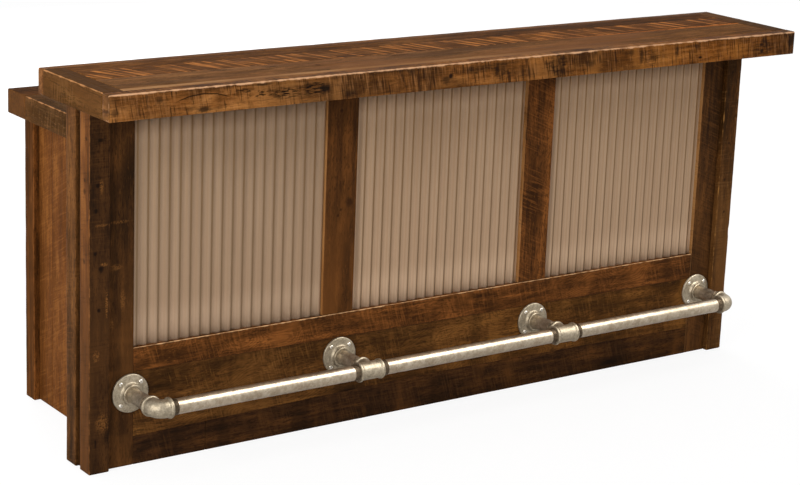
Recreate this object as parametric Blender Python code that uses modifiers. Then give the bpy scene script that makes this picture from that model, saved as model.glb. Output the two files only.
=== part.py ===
"""A two-level bar counter: a front wall of sawn boards and corrugated sheet, a bar top, a lower
counter over an open shelved cabinet, and a foot rail of pipe and fittings.

Metres, +Z up. The customer's side faces -Y, and the origin is on the floor under the middle.
"""

import math

import bmesh
import bpy
from mathutils import Vector

# Overall heights
BAR_HEIGHT = 1.067
BAR_THICKNESS = 0.070
COUNTER_DROP = 0.153
COUNTER_THICKNESS = 0.070

# Front wall, seen from the front
PANEL_COUNT = 3
PANEL_WIDTH = 0.596
MID_STILE_WIDTH = 0.103
END_STILE_WIDTH = 0.080
POST_WIDTH = 0.060
PANEL_BOTTOM = 0.331
TOP_RAIL_HEIGHT = 0.047
LOWER_BOARD_TOP = 0.082
MIDDLE_BOARD_TOP = 0.256

# Front wall, from front to back
POST_DEPTH = 0.054
POST_PROUD = 0.017
BOARD_THICKNESS = 0.016
CORE_THICKNESS = 0.026
CORE_RECESS = 0.012

# Corrugated sheets
SHEET_PITCH = 0.0324
SHEET_DEPTH = 0.00635
SHEET_THICKNESS = 0.0008
SHEET_LAP = 0.006
SHEET_STEPS_PER_PITCH = 6
FIRST_GROOVES = (0.0223, 0.0106, 0.0073)

# Bar top
BAR_END_OVERHANG = 0.038
BAR_FRONT_OVERHANG = 0.198
BAR_REAR_OVERHANG = 0.085
BAR_FRONT_EDGE = 0.038
BAR_REAR_EDGE = 0.028
BAR_END_EDGE = 0.060
BAR_PLANK_SHARES = {"front": 0.46, "middle": 0.33, "rear": 0.21}
PLANK_THICKNESS = 0.025

# Lower counter and its cabinet
COUNTER_DEPTH = 0.553
COUNTER_END_INSET = 0.091
COUNTER_END_OVERHANG = 0.038
COUNTER_REAR_OVERHANG = 0.030
COUNTER_REAR_EDGE = 0.115
COUNTER_END_EDGE = 0.050
COUNTER_PLANK_SHARES = {"front": 0.30, "middle": 0.38, "rear": 0.32}
SPLASH_THICKNESS = 0.020
CABINET_BAYS = 3
PANEL_RECESS = 0.019
CABINET_BOARD = 0.020
GROOVE_DEPTH = 0.010
DADO_DEPTH = 0.006
KICK_HEIGHT = 0.090
KICK_SETBACK = 0.060
SHELF_HEIGHT = 0.450
SHELF_SETBACK = 0.050
REAR_RAIL_HEIGHT = 0.060
REAR_RAIL_HOUSING = 0.015

# Foot rail: 1 1/4 inch pipe and its fittings
RAIL_HEIGHT = 0.206
RAIL_OFFSET = 0.153
RAIL_LEFT_INSET = 0.129
RAIL_RIGHT_INSET = 0.116
SUPPORT_SHIFT = 0.009
PIPE_DIAMETER = 0.0422
PIPE_WALL = 0.0036
FITTING_REACH = 0.039
FITTING_SOCKET = 0.0125
PIPE_ENGAGEMENT = 0.011
FITTING_RADIUS = 0.0252
FITTING_PASSAGE = 0.0165
BAND_RADIUS = 0.0285
BAND_WIDTH = 0.0085
BEND_RADIUS = 0.0255
FLANGE_RADIUS = 0.054
FLANGE_PLATE = 0.007
FLANGE_HUB_RADIUS = 0.028
FLANGE_HUB_HEIGHT = 0.022
FLANGE_HOLE_CIRCLE = 0.042
FLANGE_HOLE_RADIUS = 0.0035
FLANGE_HOLES = 4
FLANGE_SEAT = 0.004

# Clearances and finish
SEAM = 0.0003
EASED_EDGE = 0.0022
ROUND_SIDES = 16
FLANGE_SIDES = 24
HOLE_SIDES = 8
CUTTER_EXCESS = 0.010

FINISHES = {
    "dark_barnwood": ((0.10, 0.045, 0.016), 0.75, 0.0),
    "brown_barnwood": ((0.20, 0.090, 0.030), 0.75, 0.0),
    "tan_barnwood": ((0.32, 0.160, 0.060), 0.72, 0.0),
    "grey_barnwood": ((0.16, 0.105, 0.070), 0.80, 0.0),
    "plain_panel": ((0.38, 0.24, 0.12), 0.70, 0.0),
    "corrugated_sheet": ((0.40, 0.26, 0.165), 0.55, 0.6),
    "galvanised_iron": ((0.45, 0.41, 0.35), 0.42, 0.9),
}

# Positions that follow from the sizes above
WALL_LENGTH = (
    2 * (POST_WIDTH + END_STILE_WIDTH)
    + PANEL_COUNT * PANEL_WIDTH
    + (PANEL_COUNT - 1) * MID_STILE_WIDTH
)
WALL_LEFT = -WALL_LENGTH / 2
POST_TO_REAR = 2 * POST_DEPTH + CORE_THICKNESS
TOTAL_DEPTH = BAR_FRONT_OVERHANG - POST_PROUD + POST_TO_REAR + COUNTER_DEPTH
BAR_FRONT = -TOTAL_DEPTH / 2
BOARD_FRONT = BAR_FRONT + BAR_FRONT_OVERHANG
BOARD_REAR = BOARD_FRONT + BOARD_THICKNESS
POST_FRONT = BOARD_FRONT - POST_PROUD
CORE_FRONT = POST_FRONT + POST_DEPTH
CORE_REAR = CORE_FRONT + CORE_THICKNESS
WALL_REAR = CORE_REAR + POST_DEPTH
BAR_REAR = WALL_REAR + BAR_REAR_OVERHANG
COUNTER_REAR = WALL_REAR + COUNTER_DEPTH
WALL_TOP = BAR_HEIGHT - BAR_THICKNESS
PANEL_TOP = WALL_TOP - TOP_RAIL_HEIGHT
COUNTER_HEIGHT = BAR_HEIGHT - COUNTER_DROP
COUNTER_BOTTOM = COUNTER_HEIGHT - COUNTER_THICKNESS
BAR_END = WALL_LENGTH / 2 + BAR_END_OVERHANG
COUNTER_END = WALL_LENGTH / 2 - COUNTER_END_INSET
CABINET_END = COUNTER_END - COUNTER_END_OVERHANG
CABINET_REAR = COUNTER_REAR - COUNTER_REAR_OVERHANG
REAR_POST_FRONT = CABINET_REAR - POST_DEPTH
END_PANEL_OUTSIDE = CABINET_END - PANEL_RECESS
END_PANEL_INSIDE = END_PANEL_OUTSIDE - CABINET_BOARD
SHEET_FRONT = BOARD_REAR - SEAM - SHEET_DEPTH - SHEET_THICKNESS
RAIL_Y = BOARD_FRONT - RAIL_OFFSET
RAIL_LEFT = -WALL_LENGTH / 2 + RAIL_LEFT_INSET
RAIL_RIGHT = WALL_LENGTH / 2 - RAIL_RIGHT_INSET
PIPE_RADIUS = PIPE_DIAMETER / 2
SOCKET_RADIUS = PIPE_RADIUS + SEAM

for leftover in list(bpy.data.objects):
    bpy.data.objects.remove(leftover, do_unlink=True)

parts = bpy.data.collections.new("bar_counter")
cutters = bpy.data.collections.new("cutters")
cutters.hide_render = True
bpy.context.scene.collection.children.link(parts)
bpy.context.scene.collection.children.link(cutters)


def finish_material(name, finish):
    """A Principled material of the part's own, with the colour and gloss of its finish."""
    colour, roughness, metallic = FINISHES[finish]
    material = bpy.data.materials.new(name)
    material.use_nodes = True
    shader = material.node_tree.nodes["Principled BSDF"]
    shader.inputs["Base Color"].default_value = (*colour, 1.0)
    shader.inputs["Roughness"].default_value = roughness
    shader.inputs["Metallic"].default_value = metallic
    return material


def add_part(name, mesh, finish, location=(0, 0, 0)):
    mesh.materials.clear()
    mesh.materials.append(finish_material(name, finish))
    part = bpy.data.objects.new(name, mesh)
    part.location = location
    parts.objects.link(part)
    return part


def add_cutter(name, mesh, location=(0, 0, 0)):
    cutter = bpy.data.objects.new(name, mesh)
    cutter.location = location
    cutter.hide_render = True
    cutter.display_type = "WIRE"
    cutters.objects.link(cutter)
    return cutter


def block_mesh(name, size):
    mesh = bpy.data.meshes.new(name)
    shape = bmesh.new()
    bmesh.ops.create_cube(shape, size=1.0)
    bmesh.ops.scale(shape, vec=size, verts=shape.verts)
    shape.to_mesh(mesh)
    shape.free()
    return mesh


def board(name, low, high, finish, eased=True):
    """A sawn board in the space from low to high, half a seam inside it except on the floor."""
    low, high = Vector(low), Vector(high)
    inset = Vector((SEAM / 2, SEAM / 2, SEAM / 2))
    floor = low.z
    low, high = low + inset, high - inset
    if floor == 0:
        low.z = 0
    made = add_part(name, block_mesh(name, high - low), finish, (low + high) / 2)
    if eased:
        edges = made.modifiers.new("eased_edges", "BEVEL")
        edges.width = EASED_EDGE
        edges.segments = 1
    return made


def cut(part, cutter):
    """Takes the cutter's shape out of the part."""
    boolean = part.modifiers.new("cut_" + cutter.name, "BOOLEAN")
    boolean.operation = "DIFFERENCE"
    boolean.object = cutter


def housing(name, low, high):
    """A cutter for a groove or recess, a whole seam larger than the piece from low to high."""
    low, high = Vector(low), Vector(high)
    grown = Vector((SEAM, SEAM, SEAM)) / 2
    low, high = low - grown, high + grown
    return add_cutter(name, block_mesh(name, high - low), (low + high) / 2)


def panel_left(index):
    """The left edge of a panel opening."""
    first = WALL_LEFT + POST_WIDTH + END_STILE_WIDTH
    return first + index * (PANEL_WIDTH + MID_STILE_WIDTH)


# Posts of the front wall
for side, name in ((-1, "left"), (1, "right")):
    inner = side * (WALL_LENGTH / 2 - POST_WIDTH)
    x_low, x_high = sorted((side * WALL_LENGTH / 2, inner))
    board(
        f"{name}_corner_post",
        (x_low, POST_FRONT, 0),
        (x_high, CORE_FRONT, WALL_TOP),
        "dark_barnwood",
    )
    board(
        f"{name}_rear_wall_post",
        (x_low, CORE_REAR, 0),
        (x_high, WALL_REAR, WALL_TOP),
        "brown_barnwood",
    )

# Core panel, and the backing that fills in behind the face boards
board(
    "wall_core_panel",
    (WALL_LEFT + CORE_RECESS, CORE_FRONT, 0),
    (-WALL_LEFT - CORE_RECESS, CORE_REAR, WALL_TOP),
    "plain_panel",
    eased=False,
)
board(
    "front_backing_panel",
    (WALL_LEFT + POST_WIDTH, BOARD_REAR, 0),
    (-WALL_LEFT - POST_WIDTH, CORE_FRONT, WALL_TOP),
    "plain_panel",
    eased=False,
)

# Face boards, with rabbets behind their edges that trap the sheets
boards_left = panel_left(0)
boards_right = -boards_left
STILE_NAMES = ("left_end_stile", "mid_stile_1", "mid_stile_2", "right_end_stile")
stiles = []
for index, name in enumerate(STILE_NAMES):
    x_low = WALL_LEFT + POST_WIDTH if index == 0 else panel_left(index - 1) + PANEL_WIDTH
    x_high = -WALL_LEFT - POST_WIDTH if index == PANEL_COUNT else panel_left(index)
    at_end = index in (0, PANEL_COUNT)
    z_low = 0 if at_end else PANEL_BOTTOM
    z_high = WALL_TOP if at_end else PANEL_TOP
    low, high = (x_low, BOARD_FRONT, z_low), (x_high, BOARD_REAR, z_high)
    stiles.append(board(name, low, high, "dark_barnwood"))
top_rail = board(
    "top_rail",
    (boards_left, BOARD_FRONT, PANEL_TOP),
    (boards_right, BOARD_REAR, WALL_TOP),
    "dark_barnwood",
)
base_levels = (
    ("lower", 0, LOWER_BOARD_TOP),
    ("middle", LOWER_BOARD_TOP, MIDDLE_BOARD_TOP),
    ("upper", MIDDLE_BOARD_TOP, PANEL_BOTTOM),
)
for level, z_low, z_high in base_levels:
    upper_board = board(
        f"base_board_{level}",
        (boards_left, BOARD_FRONT, z_low),
        (boards_right, BOARD_REAR, z_high),
        "brown_barnwood",
    )


def sheet_mesh(name, first_groove):
    """A corrugated sheet standing in XZ, its grooves spaced from the opening's left edge."""
    mesh = bpy.data.meshes.new(name)
    shape = bmesh.new()
    height = PANEL_TOP - PANEL_BOTTOM + 2 * (SHEET_LAP - SEAM)
    start = -SHEET_LAP + SEAM
    end = PANEL_WIDTH + SHEET_LAP - SEAM
    step = SHEET_PITCH / SHEET_STEPS_PER_PITCH
    first = math.ceil((start - first_groove) / step) + 1
    last = math.floor((end - first_groove) / step) - 1
    places = [start] + [first_groove + step * n for n in range(first, last + 1)] + [end]
    middle = (SHEET_DEPTH + SHEET_THICKNESS) / 2
    rows = []
    for x in places:
        wave = math.cos(2 * math.pi * (x - first_groove) / SHEET_PITCH)
        y = middle + wave * SHEET_DEPTH / 2
        rows.append([shape.verts.new((x, y, z)) for z in (-height / 2, height / 2)])
    for one, two in zip(rows, rows[1:]):
        shape.faces.new((one[0], two[0], two[1], one[1]))
    shape.to_mesh(mesh)
    shape.free()
    return mesh


for index in range(PANEL_COUNT):
    left = panel_left(index)
    recess = housing(
        f"sheet_recess_{index + 1}",
        (left - SHEET_LAP, SHEET_FRONT, PANEL_BOTTOM - SHEET_LAP),
        (left + PANEL_WIDTH + SHEET_LAP, BOARD_REAR + CUTTER_EXCESS, PANEL_TOP + SHEET_LAP),
    )
    for neighbour in (stiles[index], stiles[index + 1], upper_board, top_rail):
        cut(neighbour, recess)
    name = f"corrugated_sheet_{index + 1}"
    first_groove = FIRST_GROOVES[index % len(FIRST_GROOVES)]
    sheet = add_part(
        name,
        sheet_mesh(name, first_groove),
        "corrugated_sheet",
        (left, SHEET_FRONT, (PANEL_BOTTOM + PANEL_TOP) / 2),
    )
    metal = sheet.modifiers.new("sheet_metal", "SOLIDIFY")
    metal.thickness = SHEET_THICKNESS
    metal.offset = 0


def planks(prefix, shares, front, rear, z_low, z_high, end, finishes):
    """Lengthwise planks side by side that share the depth from front to rear."""
    y = front
    for (name, share), finish in zip(shares.items(), finishes):
        y_next = y + (rear - front) * share
        board(f"{prefix}_{name}_plank", (-end, y, z_low), (end, y_next, z_high), finish)
        y = y_next


# Bar top: edge boards round planks on an underlay
board(
    "bar_front_edge",
    (-BAR_END, BAR_FRONT, WALL_TOP),
    (BAR_END, BAR_FRONT + BAR_FRONT_EDGE, BAR_HEIGHT),
    "tan_barnwood",
)
board(
    "bar_rear_edge",
    (-BAR_END, BAR_REAR - BAR_REAR_EDGE, WALL_TOP),
    (BAR_END, BAR_REAR, BAR_HEIGHT),
    "brown_barnwood",
)
bar_inner_front = BAR_FRONT + BAR_FRONT_EDGE
bar_inner_rear = BAR_REAR - BAR_REAR_EDGE
bar_inner_end = BAR_END - BAR_END_EDGE
for side, name in ((-1, "left"), (1, "right")):
    x_low, x_high = sorted((side * BAR_END, side * bar_inner_end))
    board(
        f"bar_{name}_end",
        (x_low, bar_inner_front, WALL_TOP),
        (x_high, bar_inner_rear, BAR_HEIGHT),
        "grey_barnwood",
    )
board(
    "bar_underlay",
    (-bar_inner_end, bar_inner_front, WALL_TOP),
    (bar_inner_end, bar_inner_rear, BAR_HEIGHT - PLANK_THICKNESS),
    "plain_panel",
    eased=False,
)
planks(
    "bar",
    BAR_PLANK_SHARES,
    bar_inner_front,
    bar_inner_rear,
    BAR_HEIGHT - PLANK_THICKNESS,
    BAR_HEIGHT,
    bar_inner_end,
    ("grey_barnwood", "tan_barnwood", "dark_barnwood"),
)

# Lower counter, from the wall's core to its rear edge, and the splash board that stands on it
board(
    "counter_rear_edge",
    (-COUNTER_END, COUNTER_REAR - COUNTER_REAR_EDGE, COUNTER_BOTTOM),
    (COUNTER_END, COUNTER_REAR, COUNTER_HEIGHT),
    "brown_barnwood",
)
counter_inner_end = COUNTER_END - COUNTER_END_EDGE
counter_inner_rear = COUNTER_REAR - COUNTER_REAR_EDGE
for side, name in ((-1, "left"), (1, "right")):
    x_low, x_high = sorted((side * COUNTER_END, side * counter_inner_end))
    board(
        f"counter_{name}_end",
        (x_low, CORE_REAR, COUNTER_BOTTOM),
        (x_high, counter_inner_rear, COUNTER_HEIGHT),
        "brown_barnwood",
    )
board(
    "counter_underlay",
    (-counter_inner_end, CORE_REAR, COUNTER_BOTTOM),
    (counter_inner_end, counter_inner_rear, COUNTER_HEIGHT - PLANK_THICKNESS),
    "plain_panel",
    eased=False,
)
planks(
    "counter",
    COUNTER_PLANK_SHARES,
    CORE_REAR,
    counter_inner_rear,
    COUNTER_HEIGHT - PLANK_THICKNESS,
    COUNTER_HEIGHT,
    counter_inner_end,
    ("dark_barnwood", "grey_barnwood", "tan_barnwood"),
)
board(
    "splash_board",
    (WALL_LEFT + POST_WIDTH, CORE_REAR, COUNTER_HEIGHT),
    (-WALL_LEFT - POST_WIDTH, CORE_REAR + SPLASH_THICKNESS, WALL_TOP),
    "brown_barnwood",
)

# Cabinet under the counter. The wall's core panel closes its far side.
end_panels = []
rear_posts = []
for side, name in ((-1, "left"), (1, "right")):
    x_low, x_high = sorted((side * CABINET_END, side * (CABINET_END - POST_WIDTH)))
    post = board(
        f"{name}_cabinet_post",
        (x_low, REAR_POST_FRONT, 0),
        (x_high, CABINET_REAR, COUNTER_BOTTOM),
        "dark_barnwood",
    )
    x_low, x_high = sorted((side * END_PANEL_OUTSIDE, side * END_PANEL_INSIDE))
    low = (x_low, CORE_REAR, 0)
    high = (x_high, REAR_POST_FRONT + GROOVE_DEPTH, COUNTER_BOTTOM)
    end_panels.append(board(f"{name}_end_panel", low, high, "brown_barnwood", eased=False))
    groove = housing(
        f"{name}_panel_groove",
        (x_low, REAR_POST_FRONT - CUTTER_EXCESS, -CUTTER_EXCESS),
        (x_high, REAR_POST_FRONT + GROOVE_DEPTH, COUNTER_BOTTOM + CUTTER_EXCESS),
    )
    cut(post, groove)
    rear_posts.append(post)

bay_pitch = (2 * END_PANEL_INSIDE + CABINET_BOARD) / CABINET_BAYS
shelf_rear = CABINET_REAR - SHELF_SETBACK
floor_top = KICK_HEIGHT + CABINET_BOARD

cabinet_floor_low = (-END_PANEL_INSIDE - DADO_DEPTH, CORE_REAR, KICK_HEIGHT)
cabinet_floor_high = (END_PANEL_INSIDE + DADO_DEPTH, REAR_POST_FRONT, floor_top)
board("cabinet_floor", cabinet_floor_low, cabinet_floor_high, "brown_barnwood", eased=False)
floor_dado = housing("floor_dado", cabinet_floor_low, cabinet_floor_high)
for panel in end_panels:
    cut(panel, floor_dado)
kick_rear = REAR_POST_FRONT - KICK_SETBACK
board(
    "kick_board",
    (-END_PANEL_INSIDE, kick_rear - CABINET_BOARD, 0),
    (END_PANEL_INSIDE, kick_rear, KICK_HEIGHT),
    "dark_barnwood",
)

dividers = []
for index in range(1, CABINET_BAYS):
    centre = -END_PANEL_INSIDE - CABINET_BOARD / 2 + index * bay_pitch
    dividers.append(
        board(
            f"divider_{index}",
            (centre - CABINET_BOARD / 2, CORE_REAR, floor_top),
            (centre + CABINET_BOARD / 2, REAR_POST_FRONT, COUNTER_BOTTOM),
            "brown_barnwood",
            eased=False,
        )
    )
for index in range(CABINET_BAYS):
    left = -END_PANEL_INSIDE + index * bay_pitch
    low = (left - DADO_DEPTH, CORE_REAR, SHELF_HEIGHT)
    high = (
        left + bay_pitch - CABINET_BOARD + DADO_DEPTH,
        shelf_rear - POST_DEPTH,
        SHELF_HEIGHT + CABINET_BOARD,
    )
    board(f"shelf_{index + 1}", low, high, "tan_barnwood", eased=False)
    dado = housing(f"shelf_dado_{index + 1}", low, high)
    sides = [end_panels[0], *dividers, end_panels[-1]]
    cut(sides[index], dado)
    cut(sides[index + 1], dado)

rail_end = CABINET_END - POST_WIDTH + REAR_RAIL_HOUSING
rail_low = (-rail_end, REAR_POST_FRONT, COUNTER_BOTTOM - REAR_RAIL_HEIGHT)
rail_high = (rail_end, CABINET_REAR, COUNTER_BOTTOM)
board("cabinet_rear_rail", rail_low, rail_high, "dark_barnwood", eased=False)
rail_housing = housing(
    "rear_rail_housing",
    (-rail_end, REAR_POST_FRONT - CUTTER_EXCESS, rail_low[2]),
    (rail_end, CABINET_REAR + CUTTER_EXCESS, COUNTER_BOTTOM + CUTTER_EXCESS),
)
for post in rear_posts:
    cut(post, rail_housing)


# Foot rail


def swept_mesh(name, stations, sides=ROUND_SIDES):
    """A round bar along (place, radius) stations, made from a bevelled curve and welded shut."""
    curve = bpy.data.curves.new(name, "CURVE")
    curve.dimensions = "3D"
    curve.bevel_depth = 1.0
    curve.bevel_resolution = sides // 2 - 2
    curve.use_fill_caps = True
    path = curve.splines.new("POLY")
    path.points.add(len(stations) - 1)
    for point, (place, radius) in zip(path.points, stations):
        point.co = (*place, 1.0)
        point.radius = radius
    holder = bpy.data.objects.new(name, curve)
    bpy.context.scene.collection.objects.link(holder)
    graph = bpy.context.evaluated_depsgraph_get()
    mesh = bpy.data.meshes.new_from_object(holder.evaluated_get(graph))
    bpy.data.objects.remove(holder)
    bpy.data.curves.remove(curve)
    shape = bmesh.new()
    shape.from_mesh(mesh)
    bmesh.ops.remove_doubles(shape, verts=shape.verts, dist=1e-6)
    bmesh.ops.recalc_face_normals(shape, faces=shape.faces)
    shape.to_mesh(mesh)
    shape.free()
    mesh.name = name
    return mesh


def round_off(part):
    """Shades a round piece smooth and keeps its rims sharp."""
    part.data.shade_smooth()
    part.data.set_sharp_from_angle(angle=math.radians(35))


def tube(name, start, end, finish="galvanised_iron"):
    """A length of pipe between two places."""
    start, end = Vector(start), Vector(end)
    middle = (start + end) / 2
    along = (end - start).normalized()
    pipe = add_part(
        name,
        swept_mesh(name, [(start - middle, PIPE_RADIUS), (end - middle, PIPE_RADIUS)]),
        finish,
        middle,
    )
    bore = PIPE_RADIUS - PIPE_WALL
    past = along * CUTTER_EXCESS
    ends = [(start - middle - past, bore), (end - middle + past, bore)]
    cut(pipe, add_cutter(name + "_bore", swept_mesh(name + "_bore", ends), middle))
    round_off(pipe)
    return pipe


def band_stations(outward):
    """The banded mouth of a fitting that ends at FITTING_REACH along a direction."""
    direction = Vector(outward)
    step = 0.0008
    return [
        (direction * FITTING_REACH, BAND_RADIUS),
        (direction * (FITTING_REACH - BAND_WIDTH), BAND_RADIUS),
        (direction * (FITTING_REACH - BAND_WIDTH - step), FITTING_RADIUS),
    ]


def arc_stations(start, end, radius, steps):
    """Stations round a bend from along one direction to along another."""
    start, end = Vector(start), Vector(end)
    centre = (start + end) * BEND_RADIUS
    stations = []
    for n in range(steps + 1):
        angle = math.pi / 2 * n / steps
        place = centre - start * BEND_RADIUS * math.sin(angle) - end * BEND_RADIUS * math.cos(angle)
        stations.append((place, radius))
    return stations


def socket_stations(outward):
    """The inside of a fitting's mouth: the socket that takes the pipe, then the passage."""
    direction = Vector(outward)
    floor = FITTING_REACH - FITTING_SOCKET
    return [
        (direction * (FITTING_REACH + CUTTER_EXCESS), SOCKET_RADIUS),
        (direction * floor, SOCKET_RADIUS),
        (direction * (floor - SEAM), FITTING_PASSAGE),
    ]


def elbow(name, place, one, two):
    """A quarter bend whose mouths face two directions."""
    outside = band_stations(one) + arc_stations(one, two, FITTING_RADIUS, 5)
    outside += band_stations(two)[::-1]
    inside = socket_stations(one) + arc_stations(one, two, FITTING_PASSAGE, 4)
    inside += socket_stations(two)[::-1]
    made = add_part(name, swept_mesh(name, outside), "galvanised_iron", place)
    cut(made, add_cutter(name + "_passage", swept_mesh(name + "_passage", inside), place))
    round_off(made)
    return made


def tee(name, place, run, branch):
    """A tee with two mouths along run and one along branch."""
    back = tuple(-value for value in run)
    outside = band_stations(run) + band_stations(back)[::-1]
    inside = socket_stations(run) + socket_stations(back)[::-1]
    made = add_part(name, swept_mesh(name, outside), "galvanised_iron", place)
    origin = Vector((0, 0, 0))
    side_outside = band_stations(branch) + [(origin, FITTING_RADIUS)]
    side_inside = socket_stations(branch) + [(origin, FITTING_PASSAGE)]
    side = add_cutter(name + "_branch", swept_mesh(name + "_branch", side_outside), place)
    join = made.modifiers.new("branch", "BOOLEAN")
    join.operation = "UNION"
    join.object = side
    cut(made, add_cutter(name + "_run_passage", swept_mesh(name + "_run_passage", inside), place))
    branch_name = name + "_branch_passage"
    cut(made, add_cutter(branch_name, swept_mesh(branch_name, side_inside), place))
    round_off(made)
    return made


def flange_mesh():
    """Half of a floor flange's section, from the hub's mouth down its outside to the bore."""
    mesh = bpy.data.meshes.new("flange_profile")
    profile = (
        (SOCKET_RADIUS, FLANGE_HUB_HEIGHT),
        (FLANGE_HUB_RADIUS, FLANGE_HUB_HEIGHT),
        (FLANGE_HUB_RADIUS + 0.0015, FLANGE_PLATE + 0.003),
        (FLANGE_HUB_RADIUS + 0.0045, FLANGE_PLATE),
        (FLANGE_RADIUS - 0.002, FLANGE_PLATE - 0.001),
        (FLANGE_RADIUS, FLANGE_PLATE - 0.003),
        (FLANGE_RADIUS, 0),
        (SOCKET_RADIUS, 0),
    )
    shape = bmesh.new()
    verts = [shape.verts.new((radius, 0, height)) for radius, height in profile]
    for one, two in zip(verts, verts[1:] + verts[:1]):
        shape.edges.new((one, two))
    shape.to_mesh(mesh)
    shape.free()
    return mesh


def flange(name, x):
    """A floor flange against the face boards, its hub towards the customer."""
    place = Vector((x, BOARD_FRONT - SEAM, RAIL_HEIGHT))
    made = add_part(name, flange_mesh(), "galvanised_iron", place)
    made.rotation_euler = (math.radians(90), 0, 0)
    turned = made.modifiers.new("turned", "SCREW")
    turned.steps = FLANGE_SIDES
    turned.render_steps = FLANGE_SIDES
    turned.use_merge_vertices = True
    turned.merge_threshold = 0.00001
    turned.use_smooth_shade = False
    for n in range(FLANGE_HOLES):
        angle = 2 * math.pi * (n + 0.5) / FLANGE_HOLES
        hole_x = x + FLANGE_HOLE_CIRCLE * math.cos(angle)
        hole_z = RAIL_HEIGHT + FLANGE_HOLE_CIRCLE * math.sin(angle)
        hole_name = f"{name}_hole_{n + 1}"
        ends = [
            (Vector((0, -FLANGE_PLATE - CUTTER_EXCESS, 0)), FLANGE_HOLE_RADIUS),
            (Vector((0, CUTTER_EXCESS, 0)), FLANGE_HOLE_RADIUS),
        ]
        hole = swept_mesh(hole_name, ends, HOLE_SIDES)
        cut(made, add_cutter(hole_name, hole, (hole_x, BOARD_FRONT, hole_z)))
    return made


def stile_support(index):
    """Where the foot rail is held near the middle of a mid stile."""
    return panel_left(index) - MID_STILE_WIDTH / 2 + SUPPORT_SHIFT


support_places = [RAIL_LEFT, *map(stile_support, range(1, PANEL_COUNT)), RAIL_RIGHT]
out, back, left, right = (0, -1, 0), (0, 1, 0), (-1, 0, 0), (1, 0, 0)
for number, x in enumerate(support_places, start=1):
    flange(f"rail_flange_{number}", x)
    tube(
        f"rail_nipple_{number}",
        (x, BOARD_FRONT - FLANGE_SEAT, RAIL_HEIGHT),
        (x, RAIL_Y + FITTING_REACH - PIPE_ENGAGEMENT, RAIL_HEIGHT),
    )
    place = (x, RAIL_Y, RAIL_HEIGHT)
    if number == 1:
        elbow("left_rail_elbow", place, back, right)
    elif number == len(support_places):
        elbow("right_rail_elbow", place, back, left)
    else:
        tee(f"rail_tee_{number - 1}", place, right, back)

pipe_end = FITTING_REACH - PIPE_ENGAGEMENT
for number, (start, end) in enumerate(zip(support_places, support_places[1:]), start=1):
    tube(
        f"rail_pipe_{number}",
        (start + pipe_end, RAIL_Y, RAIL_HEIGHT),
        (end - pipe_end, RAIL_Y, RAIL_HEIGHT),
    )
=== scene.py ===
"""Looks for the bar counter: worn reclaimed boards, corrugated sheet and a galvanised foot rail.

Every board is a worn copy of its plain solid, and the rail's fittings are cast and turned
pieces. All of it stands on the solids, in metres, with the customer's side facing -Y.
"""

import math

import bmesh
import bpy
from mathutils import Matrix, Vector, noise


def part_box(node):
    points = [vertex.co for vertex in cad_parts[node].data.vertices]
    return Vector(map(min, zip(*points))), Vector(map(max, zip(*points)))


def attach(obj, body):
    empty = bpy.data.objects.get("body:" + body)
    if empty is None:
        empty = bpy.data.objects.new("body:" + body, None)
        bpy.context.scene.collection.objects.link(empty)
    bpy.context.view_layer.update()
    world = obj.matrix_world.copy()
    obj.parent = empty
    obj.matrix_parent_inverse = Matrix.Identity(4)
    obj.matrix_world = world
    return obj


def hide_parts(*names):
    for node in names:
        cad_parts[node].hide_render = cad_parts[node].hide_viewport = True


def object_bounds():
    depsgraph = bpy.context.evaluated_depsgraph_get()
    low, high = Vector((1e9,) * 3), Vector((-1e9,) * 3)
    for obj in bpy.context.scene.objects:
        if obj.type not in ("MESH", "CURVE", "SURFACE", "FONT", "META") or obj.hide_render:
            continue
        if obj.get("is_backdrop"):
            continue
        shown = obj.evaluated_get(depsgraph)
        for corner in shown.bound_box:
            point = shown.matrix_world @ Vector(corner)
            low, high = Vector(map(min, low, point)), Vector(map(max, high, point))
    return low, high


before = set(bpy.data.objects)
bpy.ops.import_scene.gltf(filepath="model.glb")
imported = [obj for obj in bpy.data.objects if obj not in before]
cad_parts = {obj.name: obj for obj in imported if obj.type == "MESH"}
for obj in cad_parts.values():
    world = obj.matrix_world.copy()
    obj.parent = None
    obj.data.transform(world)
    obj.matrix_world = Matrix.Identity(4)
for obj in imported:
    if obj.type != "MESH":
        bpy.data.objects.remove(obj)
solid_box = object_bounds()

AXES = {"x": 0, "y": 1, "z": 2}
WAYS = {"x": (1, 0, 0), "y": (0, 1, 0), "z": (0, 0, 1)}
SIDES = ("left", "right")

# Worn boards: their sections and arrises, then how deep each kind of board is worn
STATION_SPACING = 0.014
ARRIS_BAND = 0.007
FACE_UNEVENNESS = LEAST_RADIUS = 0.0004
GOUGE_LEVEL, GOUGE_DEPTH = 0.42, 2.2
# How strongly worn wood shows beside an arris and on an end
SHOULDER_SHARE, END_SHARE = 0.55, 0.9
PLAIN_WEAR, PANEL_WEAR, UPPER_BASE_WEAR, FRONT_EDGE_WEAR = 0.0016, 0.0014, 0.0022, 0.0046
THICK_WEAR, POST_WEAR, CABINET_POST_WEAR = 0.003, 0.0026, 0.0028
BUTT_GAP, SPOT_DEPTH = 0.0006, 0.02
# Shares of the wear on the arrises and at the ends of boards that hardly show them
FEW_ARRISES, FEW_ENDS = (0.15, 0.15, 0.15, 0.15), (0.1, 0.1)
SHAPE_WORDS = ("bare", "bare_ends", "chips", "shifts")
# Waves of the faces, of the arrises and of their gouges, in turns per metre
FACE_WAVES, ARRIS_WAVES, FINE_ARRIS_WAVES, GOUGE_WAVES = 3.0, 21.0, 64.0, 9.0

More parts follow.
